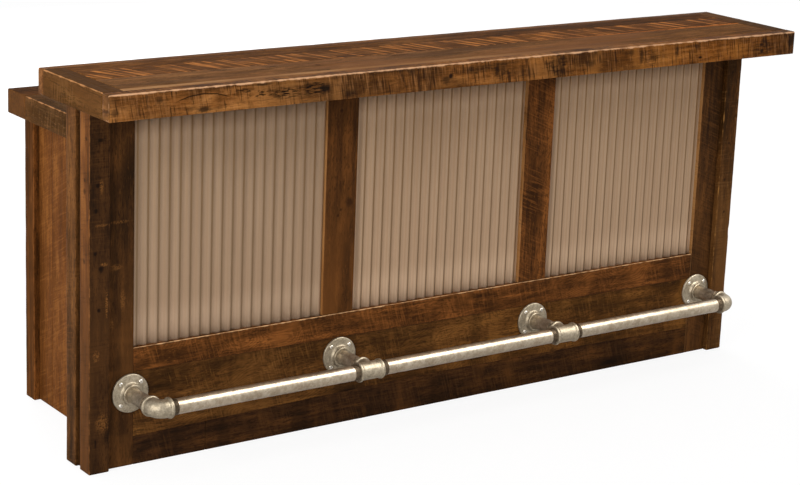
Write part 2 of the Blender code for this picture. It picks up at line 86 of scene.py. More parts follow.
# Corrugated sheets
SHEET_PITCH, SHEET_DEPTH, SHEET_METAL, SHEET_LAP = 0.0324, 0.00635, 0.0008, 0.0057
STEPS_PER_PITCH = 20
FIRST_GROOVES = (0.0223, 0.0106, 0.0073)

# Tones of the sheets: where dull, where bright, and paler low down as painted light, which leaves
# the top in painted shade under the bar; then of the painted shade lines, high and low
SHEET_TONES_AND_LIGHT = ((146, 119, 93), (158, 131, 104), (168, 138, 110))
SHADE_LINE_TONES = ((138, 104, 58), (120, 96, 64))
# Lines of painted shade down every groove, the main one on the slope that faces away from the
# light, as (place in the pitch, half width, share), then their share on each sheet
SHADE_LINES = ((0.75, 0.18, 0.9), (0.30, 0.08, 0.2))
SHADE_LINE_SHARES = (0.75, 0.95, 1.1)
# How much paler the shaded slopes are painted, as painted light; the paler tone painted at both
# ends as painted light; and each sheet's level
SLOPE_LIFT = 1.20
SHEET_END_LIGHT = (200, 170, 142)
SHEET_LEVELS = (0.85, 1.06, 1.05)

# Foot rail
PIPE_RADIUS, SOCKET_RADIUS = 0.0211, 0.0216
FITTING_REACH, FITTING_RADIUS, BEND_RADIUS = 0.039, 0.0252, 0.0255
BAND_RADIUS, BAND_WIDTH, CAST_GRAIN = 0.0285, 0.0085, 0.0009
FLANGE_RADIUS, FLANGE_PLATE = 0.054, 0.007
HUB_RADIUS, HUB_HEIGHT = 0.028, 0.022
THREAD_PITCH, THREAD_TURNS, THREAD_RIDGE = 0.0022, 8, 0.0011
SCREW_CIRCLE, SCREWS_PER_FLANGE = 0.042, 4
SCREW_HEAD_RADIUS, SCREW_HEAD_HEIGHT = 0.0062, 0.0034
RECESS_WIDTH, RECESS_LENGTH = 0.0012, 0.0062
TURNED_SIDES = 64


def tone(red, green, blue):
    """A surface colour from the 0 to 255 values that it should show."""
    values = []
    for value in (red, green, blue):
        value /= 255
        values.append(value / 12.92 if value <= 0.04045 else ((value + 0.055) / 1.055) ** 2.4)
    return (*values, 1.0)


class NodeTree:
    """The steps that shader trees and shape trees share."""

    def feed(self, socket, value):
        if isinstance(value, bpy.types.NodeSocket):
            self.tree.links.new(value, socket)
        else:
            socket.default_value = value

    def add(self, kind, inputs=None, **settings):
        node = self.tree.nodes.new(kind)
        for key, value in settings.items():
            setattr(node, key, value)
        for key, value in (inputs or {}).items():
            self.feed(node.inputs[key], value)
        return node

    def step(self, kind, inputs=None, **settings):
        """The first output of a new node."""
        return self.add(kind, inputs, **settings).outputs[0]

    def maths(self, operation, one, two=0.0):
        return self.step("ShaderNodeMath", {0: one, 1: two}, operation=operation)

    def times(self, one, two):
        return self.maths("MULTIPLY", one, two)

    def less(self, one, two):
        return self.maths("SUBTRACT", one, two)

    def unsigned(self, value):
        return self.maths("ABSOLUTE", value)

    def weigh(self, *pairs):
        """The sum of values, each times its share."""
        return self.total(*(self.times(value, share) for value, share in pairs))

    def total(self, *values):
        result = values[0]
        for value in values[1:]:
            result = self.maths("ADD", result, value)
        return result


class Recipe(NodeTree):
    """One material's nodes, laid down step by step."""

    def __init__(self, name):
        self.material = bpy.data.materials.new(name)
        self.material.use_nodes = True
        self.tree = self.material.node_tree
        self.shader = self.tree.nodes["Principled BSDF"]

    def locate(self):
        self.place = self.add("ShaderNodeTexCoord").outputs["Object"]
        return self.place

    def measure(self, axis):
        return self.vector("DOT_PRODUCT", self.place, WAYS[axis])

    def vector(self, operation, one, two=(0, 0, 0)):
        node = self.add("ShaderNodeVectorMath", {0: one, 1: two}, operation=operation)
        return node.outputs["Value" if operation in ("DOT_PRODUCT", "LENGTH") else "Vector"]

    def noise(self, where, scale=1.0, detail=3.0, rough=0.55):
        inputs = {"Vector": where, "Scale": scale, "Detail": detail, "Roughness": rough}
        return self.add("ShaderNodeTexNoise", inputs).outputs["Fac"]

    def streaks(self, where, along, across, detail=3.0, rough=0.55):
        """Noise drawn out along the grain, which runs along X here."""
        drawn = self.vector("MULTIPLY", where, (along, across, across))
        return self.noise(drawn, 1.0, detail, rough)

    def remap(self, value, low, high, to_low=0.0, to_high=1.0, smooth=True):
        limits = {"From Min": low, "From Max": high, "To Min": to_low, "To Max": to_high}
        step = "SMOOTHSTEP" if smooth else "LINEAR"
        inputs = {"Value": value, **limits}
        return self.add("ShaderNodeMapRange", inputs, interpolation_type=step).outputs["Result"]

    def mix(self, factor, one, two, blend="MIX"):
        inputs = {0: factor, 6: one, 7: two}
        node = self.add("ShaderNodeMix", inputs, data_type="RGBA", blend_type=blend)
        return node.outputs[2]

    def ramp(self, value, stops):
        node = self.add("ShaderNodeValToRGB", {"Fac": value})
        stops = list(stops)
        marks = node.color_ramp.elements
        while len(marks) < len(stops):
            marks.new(0.5)
        for mark, (position, colour) in zip(marks, stops):
            mark.position = position
            mark.color = colour
        return node.outputs["Color"]

    def finish(self, colour, roughness, height=None, bump=0.5, relief=0.001, **levels):
        """Wires the colour, roughness and relief into the shader."""
        self.feed(self.shader.inputs["Base Color"], colour)
        self.feed(self.shader.inputs["Roughness"], roughness)
        if height is not None:
            inputs = {"Strength": bump, "Distance": relief, "Height": height}
            self.feed(self.shader.inputs["Normal"], self.step("ShaderNodeBump", inputs))
        for key, value in levels.items():
            self.shader.inputs[key.replace("_", " ")].default_value = value
        return self.material


class ShapeTree(NodeTree):
    """A shape's nodes, with a named input for each of its sizes."""

    def __init__(self, name, sizes):
        self.tree = bpy.data.node_groups.new(name, "GeometryNodeTree")
        face = self.tree.interface
        face.new_socket("Geometry", in_out="INPUT", socket_type="NodeSocketGeometry")
        face.new_socket("Geometry", in_out="OUTPUT", socket_type="NodeSocketGeometry")
        for size_name, value in sizes.items():
            whole = isinstance(value, int)
            kind = "NodeSocketInt" if whole else "NodeSocketFloat"
            socket = face.new_socket(size_name, in_out="INPUT", socket_type=kind)
            socket.default_value = value
        self.size = self.tree.nodes.new("NodeGroupInput").outputs

    def close(self, geometry, material):
        """Makes the instances real and gives them their material."""
        real = self.step("GeometryNodeRealizeInstances", {0: geometry})
        painted = self.step("GeometryNodeSetMaterial", {"Geometry": real, "Material": material})
        self.add("NodeGroupOutput", {0: painted})
        return self.tree


# The turn that lays each grain direction along X
QUARTER = math.radians(90)
GRAIN_TURN = {"x": (0, 0, 0), "y": (0, 0, -QUARTER), "z": (0, QUARTER, 0)}

# Tones of the boards: dark, middle and light
TONES = {
    "dark": ((30, 18, 9), (54, 33, 16), (80, 50, 24)),
    "umber": ((38, 23, 10), (70, 43, 20), (102, 64, 30)),
    "red": ((46, 26, 10), (102, 60, 26), (146, 88, 40)),
    "green": ((44, 27, 10), (94, 59, 26), (130, 86, 40)),
    "black": ((28, 17, 9), (58, 36, 19), (90, 57, 29)),
    "russet": ((46, 27, 11), (78, 46, 20), (112, 68, 30)),
    "tan": ((46, 26, 11), (122, 76, 38), (164, 112, 66)),
    "olive": ((50, 32, 13), (82, 53, 26), (116, 82, 48)),
    "orange": ((76, 42, 14), (104, 61, 25), (130, 82, 38)),
    "grey": ((74, 49, 28), (112, 76, 47), (152, 108, 74)),
    "brown": ((72, 45, 22), (114, 73, 40), (152, 102, 58)),
    "hazel": ((46, 28, 12), (88, 55, 26), (118, 76, 38)),
    "amber": ((52, 30, 12), (98, 58, 26), (130, 82, 40)),
    "pale": ((120, 80, 42), (150, 106, 62), (172, 128, 80)),
    "plain": ((120, 84, 48), (152, 112, 68), (178, 138, 90)),
}
EDGE_TONE = (150, 98, 54)
DARK_MARK = tone(22, 13, 7)
NICK_TONE = tone(132, 86, 42)

# Streaks of a board as (scale along the grain, scale across it, detail, roughness)
STREAKS = {
    "broad": (1.3, 17.0, 4.0),
    "grain": (3.5, 110.0, 5.0, 0.65),
    "fibre": (26.0, 520.0, 2.0),
    "cloud": (9.0, 24.0, 5.0, 0.68),
    "rings": (0.9, 7.0, 1.0),
    "patches": (3.2, 9.0, 4.0),
    "pale": (48.0, 240.0),
    "bands": (7.5, 2.6, 3.0, 0.6),
    "curl": (4.0, 12.0, 1.0),
    "scuffs": (2.6, 12.0),
    "tint": (1.5, 4.0, 2.0),
    "crack_lines": (1.6, 34.0),
    "crack_places": (1.9, 5.0, 2.0),
    "char": (42.0, 210.0, 4.0),
}
# Dark flecks as (scale along the grain, scale across it, level they start at, share)
FLECK_SIZES = ((16.0, 130.0, 0.54, 0.8), (70.0, 300.0, 0.53, 1.0))
# Shares of broad streaks, grain, cloud and rings in the colour, its middle and half span
GRAIN_SHARES = (0.40, 0.26, 0.34, 0.12)
GRAIN_LEVEL, GRAIN_SPAN = 0.53, 0.125
RING_TURNS, CURL_TURNS = 13.0, 34.0
CAST_START, CAST_END = -0.6, 1.1
# Heights where the scuffs and the painted light toward the floor start and are full
SCUFF_AND_LIGHT_TOP, SCUFF_AND_LIGHT_BOTTOM = 0.80, 0.25
KNOT_CELLS = (4.5, 16.0, 16.0)


class Wood(Recipe):
    """Reclaimed board: its grain, then stains, marks, painted light and worn arrises painted over
    it.
    """

    def __init__(self, name, along, family, seed):
        super().__init__(name)
        turn = {"Vector": self.locate(), "Rotation": GRAIN_TURN[along]}
        turn["Location"] = (seed * 3.71, seed * 1.37, seed * 2.19)
        self.grainwise = self.add("ShaderNodeMapping", turn).outputs["Vector"]
        self.shades = [tone(*shade) for shade in TONES[family]]
        self.dark, self.light = self.shades[0], self.shades[-1]
        self.grain, self.cloud = self.streak("grain"), self.streak("cloud")
        self.threads = self.remap(self.grain, 0.2, 0.75, 0.35, 1.0)

    def streak(self, name):
        return self.streaks(self.grainwise, *STREAKS[name])

    def paint(self, share, colour, blend="MIX"):
        self.colour = self.mix(share, self.colour, colour, blend)

    def sink(self, share, depth):
        self.height = self.less(self.height, self.times(share, depth))

    def figure(self, contrast, blotch, flecks):
        """The grain's own colours, with dull patches, dark flecks and pale threads."""
        rings = self.maths("PINGPONG", self.times(self.streak("rings"), RING_TURNS), 0.5)
        parts = self.streak("broad"), self.grain, self.cloud, rings
        value = self.weigh(*zip(parts, GRAIN_SHARES))
        span = GRAIN_SPAN / contrast
        self.value = self.remap(value, GRAIN_LEVEL - span, GRAIN_LEVEL + span, smooth=False)
        self.colour = self.ramp(self.value, zip((0.0, 0.5, 1.0), self.shades))
        patches = self.remap(self.streak("patches"), 0.42, 0.66)
        self.paint(self.times(patches, blotch), self.dark)
        for along_grain, across_grain, start, share in FLECK_SIZES:
            fleck = self.streaks(self.grainwise, along_grain, across_grain)
            self.paint(self.remap(fleck, start, start + 0.1, 0.0, flecks * share), self.dark)
        pale = self.remap(self.streak("pale"), 0.58, 0.72)
        self.paint(self.times(pale, flecks * 0.6), self.light)
        fibre = self.streak("fibre")
        self.height = self.weigh((self.grain, 0.5), (fibre, 0.35), (self.cloud, 0.4))

    def bands(self, share):
        """Dark and light patches that run across the grain."""
        band = self.streak("bands")
        self.paint(self.remap(band, 0.50, 0.38, 0.0, share), self.dark)
        self.paint(self.remap(band, 0.54, 0.68, 0.0, share), self.light)

    def curl(self, share):
        """Contour lines, as where a saw cut through a bend of the grain."""
        line = self.maths("PINGPONG", self.times(self.streak("curl"), CURL_TURNS), 0.5)
        self.paint(self.remap(line, 0.30, 0.05, 0.0, share), self.dark)

    def side(self, family):
        """Painted light and shade: other tones on the faces that look left or right, paler or
        darker as those faces are lit.
        """
        shades = [tone(*shade) for shade in TONES[family]]
        side = self.ramp(self.value, zip((0.0, 0.5, 1.0), shades))
        normal = self.add("ShaderNodeTexCoord").outputs["Normal"]
        sideways = self.unsigned(self.vector("DOT_PRODUCT", normal, WAYS["x"]))
        self.paint(self.remap(sideways, 0.6, 0.8, 0.0, 0.9), side)

    def scuffed(self, share):
        """Paler patches, more and more toward the floor: partly rubbed by shoes, partly painted
        light, which leaves the upper part in painted shade under the bar.
        """
        low = self.remap(self.measure("z"), SCUFF_AND_LIGHT_TOP, SCUFF_AND_LIGHT_BOTTOM, 0.0, share)
        rubbed = self.remap(self.streak("scuffs"), 0.36, 0.62)
        self.paint(self.times(low, rubbed), self.light)

    def cast(self, casts):
        """What the colours are multiplied by at the object's left and at its right."""
        left, right = ((*cast, 1.0) for cast in casts)
        from_left = self.remap(self.measure("x"), CAST_START, CAST_END)
        self.paint(1.0, self.mix(from_left, left, right), "MULTIPLY")

    def stripes(self, stripes):
        """Rubbed stripes as (y, half width, x where it starts, x where it is full, share, tone)."""
        for middle, half, start, full, share, shade in stripes:
            stripe = self.unsigned(self.less(self.measure("y"), middle))
            stripe = self.remap(stripe, half, half * 0.5, 0.0, share)
            reached = self.remap(self.measure("x"), start, full)
            self.paint(self.times(stripe, self.times(reached, self.threads)), tone(*shade))

    def end_tone(self, end):
        """Another tone on the ends, where x reaches a limit."""
        limit, shade = end
        far = self.remap(self.unsigned(self.measure("x")), limit - 0.004, limit - 0.001)
        self.paint(self.times(far, self.threads), tone(*shade))

    def tint(self, shade):
        tinted = self.remap(self.streak("tint"), 0.42, 0.6)
        self.paint(self.times(tinted, 0.6), tone(*shade))

    def saw(self, saw, seed):
        """Pale ridges and dark kerfs, in uneven lines across the saw's travel."""
        across = Vector(saw["across"]).normalized()
        travel = self.vector("DOT_PRODUCT", self.place, across)
        travel = self.maths("DIVIDE", travel, saw["pitch"])
        drawn = self.add("ShaderNodeVectorMath", {0: across, "Scale": travel}, operation="SCALE")
        drift = self.vector("MULTIPLY", self.place, (saw.get("drift", 9.0),) * 3)
        where = self.vector("ADD", drawn.outputs["Vector"], drift)
        where = self.vector("ADD", where, (seed * 5.3, seed * 2.9, seed * 1.7))
        lines = self.noise(where, 1.5, 2.0)
        shifted = self.vector("ADD", self.place, (seed * 2.3, seed * 4.1, seed * 0.7))
        cover = saw.get("cover", 0.5)
        mask = self.remap(self.noise(shifted, saw.get("patch", 9.0)), cover, cover + 0.12)
        ridge = self.times(self.remap(lines, 0.51, saw.get("crest", 0.66)), mask)
        kerf = self.times(self.remap(lines, saw.get("cut", 0.46), 0.34), mask)
        strength = saw["strength"]
        bright = tone(*saw["light"]) if "light" in saw else self.light
        self.paint(self.times(self.times(ridge, self.threads), strength), bright)
        self.paint(self.times(kerf, saw.get("kerf", strength * 0.7)), self.dark)
        lift, drop = self.times(ridge, strength * 1.1), self.times(kerf, -0.5 * strength)
        self.height = self.total(self.height, lift, drop)

    def crack(self, share):
        near = self.unsigned(self.less(self.streak("crack_lines"), 0.5))
        places = self.remap(self.streak("crack_places"), 0.52, 0.60)
        crack = self.times(self.times(self.remap(near, 0.010, 0.002), places), share)
        self.paint(crack, DARK_MARK)
        self.sink(crack, 1.2)

    def knot(self, chance):
        """Knots at random places, each with a wider dark halo."""
        cells = self.vector("MULTIPLY", self.grainwise, KNOT_CELLS)
        cells = self.add("ShaderNodeTexVoronoi", {"Vector": cells, "Scale": 1.0})
        drawn = self.vector("DOT_PRODUCT", cells.outputs["Color"], WAYS["x"])
        kept = self.remap(drawn, 1.0 - chance, 1.0 - chance + 0.02)
        away = self.total(cells.outputs["Distance"], self.times(self.grain, 0.06))
        halo = self.times(self.remap(away, 0.42, 0.16), kept)
        heart = self.times(self.remap(away, 0.24, 0.08), kept)
        self.paint(self.times(halo, 0.35), self.dark)
        self.paint(self.times(heart, 0.8), DARK_MARK)

    def spot_field(self, spots):
        """How strongly the listed spots mark a place, from 0 to 1."""
        wobble = self.noise(self.place, 90.0)
        found = None
        for centre, radii, strength in spots:
            away = self.vector("DIVIDE", self.vector("SUBTRACT", self.place, centre), radii)
            distance = self.total(self.vector("LENGTH", away), wobble)
            depth = self.remap(distance, 1.75, 0.85, 0.0, strength)
            found = depth if found is None else self.maths("MAXIMUM", found, depth)
        return found

    def nicks(self, spots):
        """Pale places where the surface was knocked off."""
        ragged = self.remap(self.noise(self.place, 260.0), 0.40, 0.56)
        self.paint(self.times(self.spot_field(spots), ragged), NICK_TONE)

    def scorched(self, spots):
        """Dark broken patches."""
        broken = self.remap(self.streak("char"), 0.46, 0.56)
        self.paint(self.times(self.spot_field(spots), broken), DARK_MARK)

    def arc(self, arc):
        """A curved crack as (its top in x and z, how fast it drops, its reach each way)."""
        (arc_x, arc_z), bend, reach = arc
        along = self.less(self.measure("x"), arc_x)
        drop = self.times(self.times(along, along), bend)
        curve = self.less(self.total(self.measure("z"), drop), arc_z)
        waver = self.times(self.noise(self.place, 60.0), 0.004)
        gap = self.remap(self.unsigned(self.total(curve, waver)), 0.0024, 0.0008, 0.0, 0.85)
        ends = self.remap(self.unsigned(along), reach, reach * 0.7)
        self.paint(self.times(gap, ends), DARK_MARK)

    def spots(self, spots):
        """Knots at their own places."""
        depth = self.spot_field(spots)
        self.paint(depth, DARK_MARK)
        self.sink(depth, 0.9)

    def wear_down(self, rubbed, edge):
        """Paler wood where the shape says that an arris is worn."""
        worn = self.add("ShaderNodeAttribute", attribute_name="worn").outputs["Fac"]
        rub = self.remap(self.noise(self.place, 42.0, 4.0), 0.3, 0.7, -0.25, 0.25)
        worn = self.remap(self.total(worn, rub), 0.35, 0.95)
        self.paint(self.times(worn, rubbed), tone(*edge))


def barnwood(name, along, family, seed, saws=(), knots=0.0, cracks=0.5, **look):
    """Reclaimed board: grain, tone patches, painted light on some faces, saw marks, knots, cracks
    and worn arrises.
    """
    wood = Wood(name, along, family, seed)
    wood.figure(look.get("contrast", 1.0), look.get("blotch", 0.5), look.get("flecks", 0.6))
    # Tone layers, among them painted light: the side tones and the paler lower part
    for tone_layer in ("bands", "curl", "side", "scuffed", "cast", "stripes", "end_tone", "tint"):
        if tone_layer in look:
            getattr(wood, tone_layer)(look[tone_layer])
    for number, saw in enumerate(saws):
        wood.saw(saw, seed + number)
    wood.crack(cracks)
    if knots:
        wood.knot(knots)
    for mark in ("nicks", "scorched", "arc", "spots"):
        if mark in look:
            getattr(wood, mark)(look[mark])
    wood.wear_down(look.get("rubbed", 0.75), look.get("edge", EDGE_TONE))
    roughness = wood.remap(wood.grain, 0.2, 0.8, 0.50, 0.78)
    levels = {"Specular_IOR_Level": look.get("sheen", 0.03)}
    return wood.finish(wood.colour, roughness, wood.height, bump=0.55, relief=0.0009, **levels)


def link_mesh(name, mesh):
    piece = bpy.data.objects.new(name, mesh)
    bpy.context.scene.collection.objects.link(piece)
    return piece


def dress(piece, material, node=None):
    """Gives a finished piece its material and its body, and hides the solid that it stands for."""
    piece.data.materials.clear()
    piece.data.materials.append(material)
    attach(piece, "root")
    if node:
        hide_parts(node)
    return piece


def settle(piece):
    """Turns a piece's modifiers into a plain mesh."""
    graph = bpy.context.evaluated_depsgraph_get()
    mesh = bpy.data.meshes.new_from_object(piece.evaluated_get(graph))
    name = piece.data.name
    piece.modifiers.clear()
    piece.data = mesh
    mesh.name = name
    return piece


def reshape(piece, name, kind, **settings):
    """Adds a modifier with these settings, which settle() turns into mesh."""
    modifier = piece.modifiers.new(name, kind)
    for key, value in settings.items():
        setattr(modifier, key, value)
    return modifier


def grow(name, tree, sizes):
    """A plain mesh object made by a shape tree with these sizes."""
    piece = link_mesh(name, bpy.data.meshes.new(name))
    modifier = reshape(piece, "shape", "NODES", node_group=tree)
    for socket in tree.interface.items_tree:
        if socket.in_out == "INPUT" and socket.name in sizes:
            modifier[socket.identifier] = sizes[socket.name]
    return settle(piece)


def closed_mesh(name, shape, rings, near, sharp):
    """A closed skin over rings of corners, smooth but for edges beyond an angle."""
    for one, two in zip(rings, rings[1:]):
        for n, vert in enumerate(one):
            after = (n + 1) % len(one)
            shape.faces.new((vert, one[after], two[after], two[n]))
    shape.faces.new(rings[0][::-1])
    shape.faces.new(rings[-1])
    bmesh.ops.remove_doubles(shape, verts=shape.verts, dist=near)
    bmesh.ops.recalc_face_normals(shape, faces=shape.faces)
    mesh = bpy.data.meshes.new(name)
    shape.to_mesh(mesh)
    shape.free()
    mesh.shade_smooth()
    mesh.set_sharp_from_angle(angle=math.radians(sharp))
    return mesh


def wander(position, lane, seed, scale):
    """Smooth noise from -1 to 1 along a board."""
    return noise.noise(Vector((position * scale, lane * 7.31 + 0.5, seed * 13.7 + 0.25)))


def between(points, position):
    """The value at a position on a line through (position, value) points."""
    if position <= points[0][0]:
        return points[0][1]
    for (one, low), (two, high) in zip(points, points[1:]):
        if position <= two:
            return low + (high - low) * (position - one) / (two - one)
    return points[-1][1]


# The corners of a board's section, in order round it, with the way in along each side
CORNERS = ((1, 1), (-1, 1), (-1, -1), (1, -1))


def worn_board(
    name, material, node, along, wear=PLAIN_WEAR, seed=0, box=None,
    bare=FEW_ARRISES, bare_ends=FEW_ENDS, chips=(), shifts=(),
):
    """A worn copy of a board's solid, or of a part of it where a box is given.

    Each of its four long arrises and two ends has a share of the wear, from 0 to 1. Chips are
    (place, arris, half length, depth), and shifts move the two faces of one side.
    """
    low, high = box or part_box(node)
    run = AXES[along]
    first, second = (axis for axis in range(3) if axis != run)
    start, end = low[run], high[run]
    sides = ((low[first], high[first]), (low[second], high[second]))
    thin = min(side[1] - side[0] for side in sides)
    band = min(ARRIS_BAND, thin * 0.3)
    count = max(4, round((end - start - 2 * band) / STATION_SPACING))
    inner = [start + band + (end - start - 2 * band) * n / count for n in range(count + 1)]
    end_round = min(wear, 0.3 * band)
    stations = [(start, end_round), (start + end_round, 0.0), *((s, 0.0) for s in inner)]
    stations += [(end - end_round, 0.0), (end, end_round)]

    shape = bmesh.new()
    layer = shape.verts.layers.float.new("worn")

    def section(position, pull, rub, flat=False):
        ring, edges = [], []
        for index, (a, b) in enumerate(sides):
            shift_low, shift_high = 0.0, 0.0
            if index in shifts:
                shift_low = between(shifts[index][0], position)
                shift_high = between(shifts[index][1], position)
            in_low = 0.5 + 0.5 * wander(position, index * 2 + 11, seed, FACE_WAVES)
            in_high = 0.5 + 0.5 * wander(position, index * 2 + 12, seed, FACE_WAVES)
            in_low, in_high = FACE_UNEVENNESS * in_low, FACE_UNEVENNESS * in_high
            edges.append((a + in_low + shift_low + pull, b - in_high + shift_high - pull))
        for corner, (side_a, side_b) in enumerate(CORNERS):
            rough = wander(position, corner, seed, ARRIS_WAVES) * 0.5
            rough += wander(position, corner + 5, seed, FINE_ARRIS_WAVES) * 0.3
            gouge = wander(position, corner + 20, seed, GOUGE_WAVES) - GOUGE_LEVEL
            gouge = max(0.0, gouge) * GOUGE_DEPTH
            radius = wear * (0.85 + rough + gouge) * (0.3 + 0.7 * bare[corner])
            for place, chip_corner, length, depth in chips:
                if corner == chip_corner:
                    radius += depth * max(0.0, 1.0 - abs(position - place) / length)
            radius = min(max(radius, LEAST_RADIUS), band * 0.9)
            a = edges[0][1] if side_a > 0 else edges[0][0]
            b = edges[1][1] if side_b > 0 else edges[1][0]
            points = (
                (a, b - side_b * band, 0.0),
                (a, b - side_b * radius, SHOULDER_SHARE),
                (a - side_a * 0.3 * radius, b - side_b * 0.3 * radius, 1.0),
                (a - side_a * radius, b, SHOULDER_SHARE),
                (a - side_a * band, b, 0.0),
            )
            if side_a * side_b < 0:
                points = points[::-1]
            if flat:
                points = ((a - side_a * band, b - side_b * band, 0.0),) * 5
            for one, two, worn in points:
                spot = [0.0, 0.0, 0.0]
                spot[run], spot[first], spot[second] = position, one, two
                vert = shape.verts.new(spot)
                vert[layer] = 0.0 if flat else max(worn * bare[corner], rub)
                ring.append(vert)
        return ring

    middle = (start + end) / 2
    rings = [section(start, end_round, 0.0, flat=True)]
    for place, pull in stations:
        rub = END_SHARE * bare_ends[place > middle] if pull else 0.0
        rings.append(section(place, pull, rub))
    rings.append(section(end, end_round, 0.0, flat=True))
    mesh = closed_mesh(name, shape, rings, 1e-6, 50)
    return dress(link_mesh(name, mesh), material, node)


def board(name, node, along, seed, wood, family, wear=PLAIN_WEAR, **look):
    """A worn board in a wood of its own, where the look also says how its shape is worn."""
    shape = {word: look.pop(word) for word in SHAPE_WORDS if word in look}
    material = barnwood(wood, along, family, seed, **look)
    return worn_board(name, material, node, along, wear, seed, **shape)


def knot_spots(axis, level, *places):
    """Spots on a face, as (place, place, radius, radius) in mm and a strength in percent."""
    spots = []
    for one, two, radius_one, radius_two, percent in places:
        centre, radii = [one / 1000, two / 1000], [radius_one / 1000, radius_two / 1000]
        centre.insert(AXES[axis], level)
        radii.insert(AXES[axis], SPOT_DEPTH)
        spots.append((tuple(centre), tuple(radii), percent / 100))
    return spots


bar_front_low, bar_front_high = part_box("bar_front_edge")
face_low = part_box("mid_stile_1")[0].y
post_side, post_face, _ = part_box("left_corner_post")[0]

# Bar top
BAR_FRONT_SPOTS = knot_spots(
    "y", bar_front_low.y,
    (-1160, 1021, 13, 11, 62), (-1036, 1044, 13, 11, 55), (-1112, 1038, 8, 3, 35),
    (-1068, 1030, 11, 4, 35), (-907, 1009, 22, 10, 85), (-945, 1012, 22, 7, 40),
    (-733, 1059, 30, 5, 80), (-541, 1032, 20, 14, 95), (-514, 1058, 14, 6, 40),
    (-462, 1013, 20, 10, 65), (-262, 1054, 13, 9, 55), (-134, 1032, 9, 9, 95),
    (-148, 1022, 18, 12, 70), (-66, 1048, 11, 9, 60), (-10, 1050, 14, 10, 35),
    (-48, 1034, 7, 4, 55), (26, 1036, 9, 24, 75), (45, 1040, 12, 26, 45), (235, 1034, 34, 30, 38),
    (258, 1053, 12, 10, 70), (263, 1033, 9, 4, 80), (361, 1029, 16, 12, 60),
    (514, 1050, 13, 10, 50), (554, 1036, 8, 28, 70), (600, 1030, 24, 14, 45),
    (693, 1040, 7, 24, 70), (772, 1049, 11, 10, 60), (786, 1015, 8, 5, 95),
    (1044, 1050, 12, 10, 60), (1034, 1036, 8, 5, 80), (1038, 1016, 8, 6, 85),
    (1158, 1041, 13, 28, 85),
)
BAR_FRONT_SCORCH = knot_spots(
    "y", bar_front_low.y,
    (-575, 1034, 45, 22, 100), (-655, 1030, 60, 16, 95), (-735, 1034, 50, 12, 90),
    (-790, 1046, 30, 7, 85), (45, 1034, 50, 32, 45), (235, 1030, 55, 36, 55),
    (590, 1030, 50, 30, 45), (1045, 1030, 50, 34, 55),
)
# How a saw crossed a board: its direction, the spacing of its lines, how strong they are
COARSE_MARKS = {"across": (1.0, 0.0, 0.22), "pitch": 0.015, "strength": 0.35, "kerf": 0.8}
COARSE_MARKS |= {"cover": 0.50, "patch": 8.0, "cut": 0.43}
FINE_MARKS = {"across": (1.0, 0.0, 0.18), "pitch": 0.0075, "strength": 0.4, "kerf": 0.8}
FINE_MARKS |= {"cover": 0.40, "patch": 13.0}
CROSS_MARKS = {"across": (0.0, 1.0, 0.12), "pitch": 0.010, "strength": 0.4, "kerf": 0.5}
CROSS_MARKS |= {"cover": 0.42}
RAKED_MARKS = {"across": (0.93, 0.36, 0.0), "pitch": 0.024, "strength": 0.85, "kerf": 0.35}
RAKED_MARKS |= {"cover": 0.28, "patch": 9.0, "crest": 0.64, "drift": 3.0, "light": (208, 132, 66)}
board(
    "bar_front_board", "bar_front_edge", "x", 1, "tan_edge_board", "tan", FRONT_EDGE_WEAR,
    bare=(0.2, 1, 0.3, 0.1), bare_ends=(0.5, 0.5), saws=(COARSE_MARKS, FINE_MARKS),
    spots=BAR_FRONT_SPOTS, scorched=BAR_FRONT_SCORCH, arc=((-0.908, 1.0505), 2.3, 0.085),
    edge=(214, 164, 122), end_tone=(bar_front_high.x, (84, 55, 28)),
    cast=((1.0, 0.96, 0.76), (0.98, 0.84, 0.43)),
    rubbed=1.0, blotch=0.8, bands=0.35, cracks=0.4, flecks=0.4,
)
board(
    "bar_rear_board", "bar_rear_edge", "x", 2, "brown_edge_board", "brown", THICK_WEAR,
    bare=(0.9, 0.2, 0.1, 0.5), bare_ends=(0.4, 0.4), saws=(COARSE_MARKS,), knots=0.2,
)
END_ARRISES = {"left": (0.15, 0.9, 0.3, 0.1), "right": (0.9, 0.15, 0.1, 0.3)}
END_CAST = (0.88, 0.84, 0.68)
BAR_END_TINTS = {"left": (90, 58, 29), "right": (112, 72, 38)}
for number, (side, tint) in enumerate(BAR_END_TINTS.items(), start=4):
    names = f"bar_{side}_end_board", f"bar_{side}_end", "y", number, f"{side}_bar_end_wood"
    board(
        *names, "olive", THICK_WEAR, bare=END_ARRISES[side], bare_ends=(0, 0), saws=(CROSS_MARKS,),
        tint=tint, cast=(END_CAST, END_CAST), edge=(196, 138, 88),
        knots=0.1, flecks=0.9, sheen=0.01,
    )
PLANK_ARRISES = {"rear": (0.1, 0.15, 0, 0), "middle": (0.1, 0.6, 0, 0), "front": (0.3, 0.1, 0, 0)}
